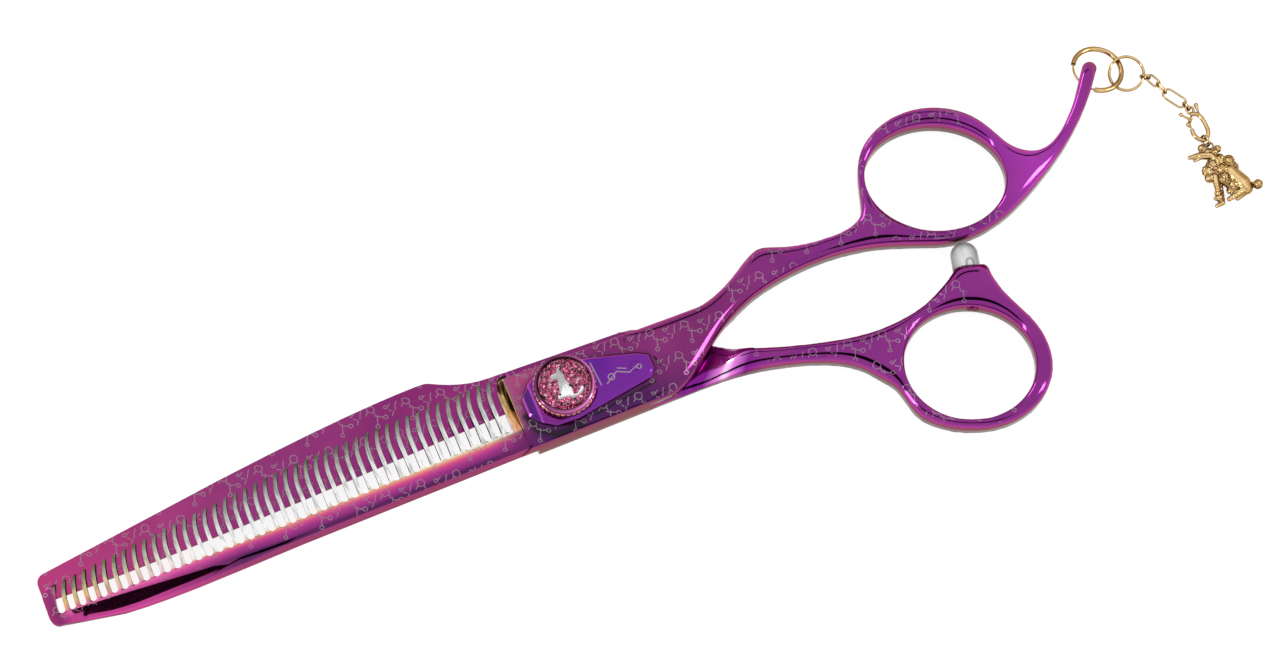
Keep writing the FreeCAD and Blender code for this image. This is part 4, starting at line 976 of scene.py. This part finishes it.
def ball(work, centre, radius):
    """Adds a ball, its centre and radius in millimetres."""
    place = Matrix.Translation(Vector(centre) * MM) @ Matrix.Scale(radius * MM, 4)
    bmesh.ops.create_icosphere(work, subdivisions=2, radius=1.0, matrix=place)


def poodle_skin():
    """Balls for the curls and rows of balls for the limbs, skinned into one casting."""
    work = bmesh.new()
    for centre, radius in CURLS:
        ball(work, centre, radius)
    for start, start_radius, end, end_radius in LIMBS:
        for step in range(LIMB_STEPS + 1):
            share = step / LIMB_STEPS
            ball(work, Vector(start).lerp(Vector(end), share),
                 start_radius + (end_radius - start_radius) * share)
    obj = mesh_object("poodle", [], [])
    work.to_mesh(obj.data)
    work.free()
    remesh = obj.modifiers.new("skin", "REMESH")
    remesh.mode = "VOXEL"
    remesh.voxel_size = POODLE_VOXEL * MM
    apply_modifiers(obj)
    return obj


def raise_curls(mesh):
    """Lifts the surface into curls where the coat is long, and marks it for the material."""
    balls = [(Vector(centre), radius) for centre, radius in CURLS]
    coat = mesh.attributes.new("curl", "FLOAT", "POINT")
    for vertex in mesh.vertices:
        spot = vertex.co / MM
        depth = max(CURL_REACH - (spot - centre).length / radius for centre, radius in balls)
        if depth > 0:
            length = min(1, depth * 6)
            coat.data[vertex.index].value = length
            ridge = noise.voronoi(spot * CURL_DENSITY)[0][0]
            vertex.co += vertex.normal * CURL_LIFT * (CURL_MIDDLE - ridge) * length * MM


def poodle():
    """The charm: the curly casting and the loop it hangs by."""
    low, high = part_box("poodle_charm")
    loop = Vector((low.x + POODLE_LOOP[0] * MM, high.y - POODLE_LOOP[1] * MM, (low.z + high.z) / 2))
    obj = poodle_skin()
    raise_curls(obj.data)
    obj.data.transform(Matrix.Translation(loop))
    shade(obj, 80)
    finish_piece(obj, gold_plate("curly_gold", True), "charm", "gold", "poodle_charm")
    bpy.ops.mesh.primitive_torus_add(major_radius=LOOP_RADIUS * MM, minor_radius=LOOP_WIRE * MM,
                                     major_segments=48, minor_segments=16, location=loop)
    eye = bpy.context.object
    eye.name = "poodle_loop"
    shade(eye, 80)
    finish_piece(eye, gold, "charm", "gold")


poodle()


# ---------------------------------------------------------------- stage, light and camera
def stage_material(name, colour, strength=0.0):
    """A plain matt surface that may glow."""
    shader = Shader(name)
    shader.set(Base_Color=(*colour, 1), Roughness=0.6, Specular_IOR_Level=0.2)
    if strength:
        shader.set(Emission_Color=(*colour, 1), Emission_Strength=strength)
    return shader.material


def floor():
    """A pale floor that glows evenly, just below the shears."""
    bpy.ops.mesh.primitive_plane_add(size=6, location=(0, 0, CAD_BOUNDS[0][2] - 0.0002))
    plane = bpy.context.object
    plane.name = "studio_floor"
    plane.data.materials.append(stage_material("floor_white", (0.25, 0.25, 0.25), 3.4))


def panel(name, place, size, strength, target=(0, 0, 0)):
    """A soft light that faces the target."""
    light = bpy.data.lights.new(name, "AREA")
    light.shape = "RECTANGLE"
    light.size, light.size_y = size
    light.energy = strength * size[0] * size[1] * math.pi
    lamp = bpy.data.objects.new(name, light)
    bpy.context.scene.collection.objects.link(lamp)
    lamp.location = place
    lamp.rotation_euler = (Vector(target) - Vector(place)).to_track_quat("-Z", "Y").to_euler()
    return lamp


def dark_card(name, place, size):
    """A black card that only shows in reflections."""
    width, height = size[0] / 2, size[1] / 2
    card = mesh_object(name, [(-width, -height, 0), (width, -height, 0), (width, height, 0),
                              (-width, height, 0)], [(0, 1, 2, 3)])
    card.location = place
    card.rotation_euler = (-Vector(place)).to_track_quat("Z", "Y").to_euler()
    card.data.materials.append(stage_material(name, (0.0, 0.0, 0.0)))
    card.visible_camera = False
    card.visible_diffuse = False
    card.visible_shadow = False
    card.visible_transmission = False


def lights():
    """Even light all round, bright strips for highlights and black cards for dark reflections."""
    world = bpy.data.worlds.new("studio")
    bpy.context.scene.world = world
    world.use_nodes = True
    background = world.node_tree.nodes["Background"]
    background.inputs[0].default_value = (1, 1, 1, 1)
    background.inputs[1].default_value = 1.0
    key = panel("key", (0.25, 0.95, 1.25), (0.9, 0.6), 1.5)
    key.visible_glossy = False
    panel("left", (-1.2, -0.1, 0.55), (0.12, 1.0), 13.0)
    panel("right", (0.85, -0.52, 0.66), (0.16, 0.55), 12.0)
    panel("band", (-0.30, 0.92, 0.33), (0.22, 0.12), 9.0)
    dark_card("card_near", (-0.25, -0.40, 0.80), (0.95, 0.42))
    dark_card("card_far", (0.34, 1.05, 0.62), (0.92, 0.2))


AIM = Vector((16.354, 6.512, 0.0)) * MM
EYE = Vector((-60.512, -179.060, 618.187)) * MM
TURN = math.radians(22.5)


def camera():
    """Looks down on the shears, 18 degrees off vertical, turned so that they climb to the right."""
    right = Vector((math.cos(TURN), -math.sin(TURN), 0))
    back = (EYE - AIM).normalized()
    up = back.cross(right).normalized()
    lens = bpy.data.cameras.new("camera")
    lens.sensor_width = 36
    lens.lens = 107.536
    lens.clip_start = 0.01
    view = bpy.data.objects.new("camera", lens)
    bpy.context.scene.collection.objects.link(view)
    view.matrix_world = Matrix((
        (right.x, up.x, back.x, EYE.x), (right.y, up.y, back.y, EYE.y),
        (right.z, up.z, back.z, EYE.z), (0, 0, 0, 1)))
    bpy.context.scene.camera = view
    bpy.context.scene.view_settings.view_transform = "Standard"


floor()
lights()
camera()
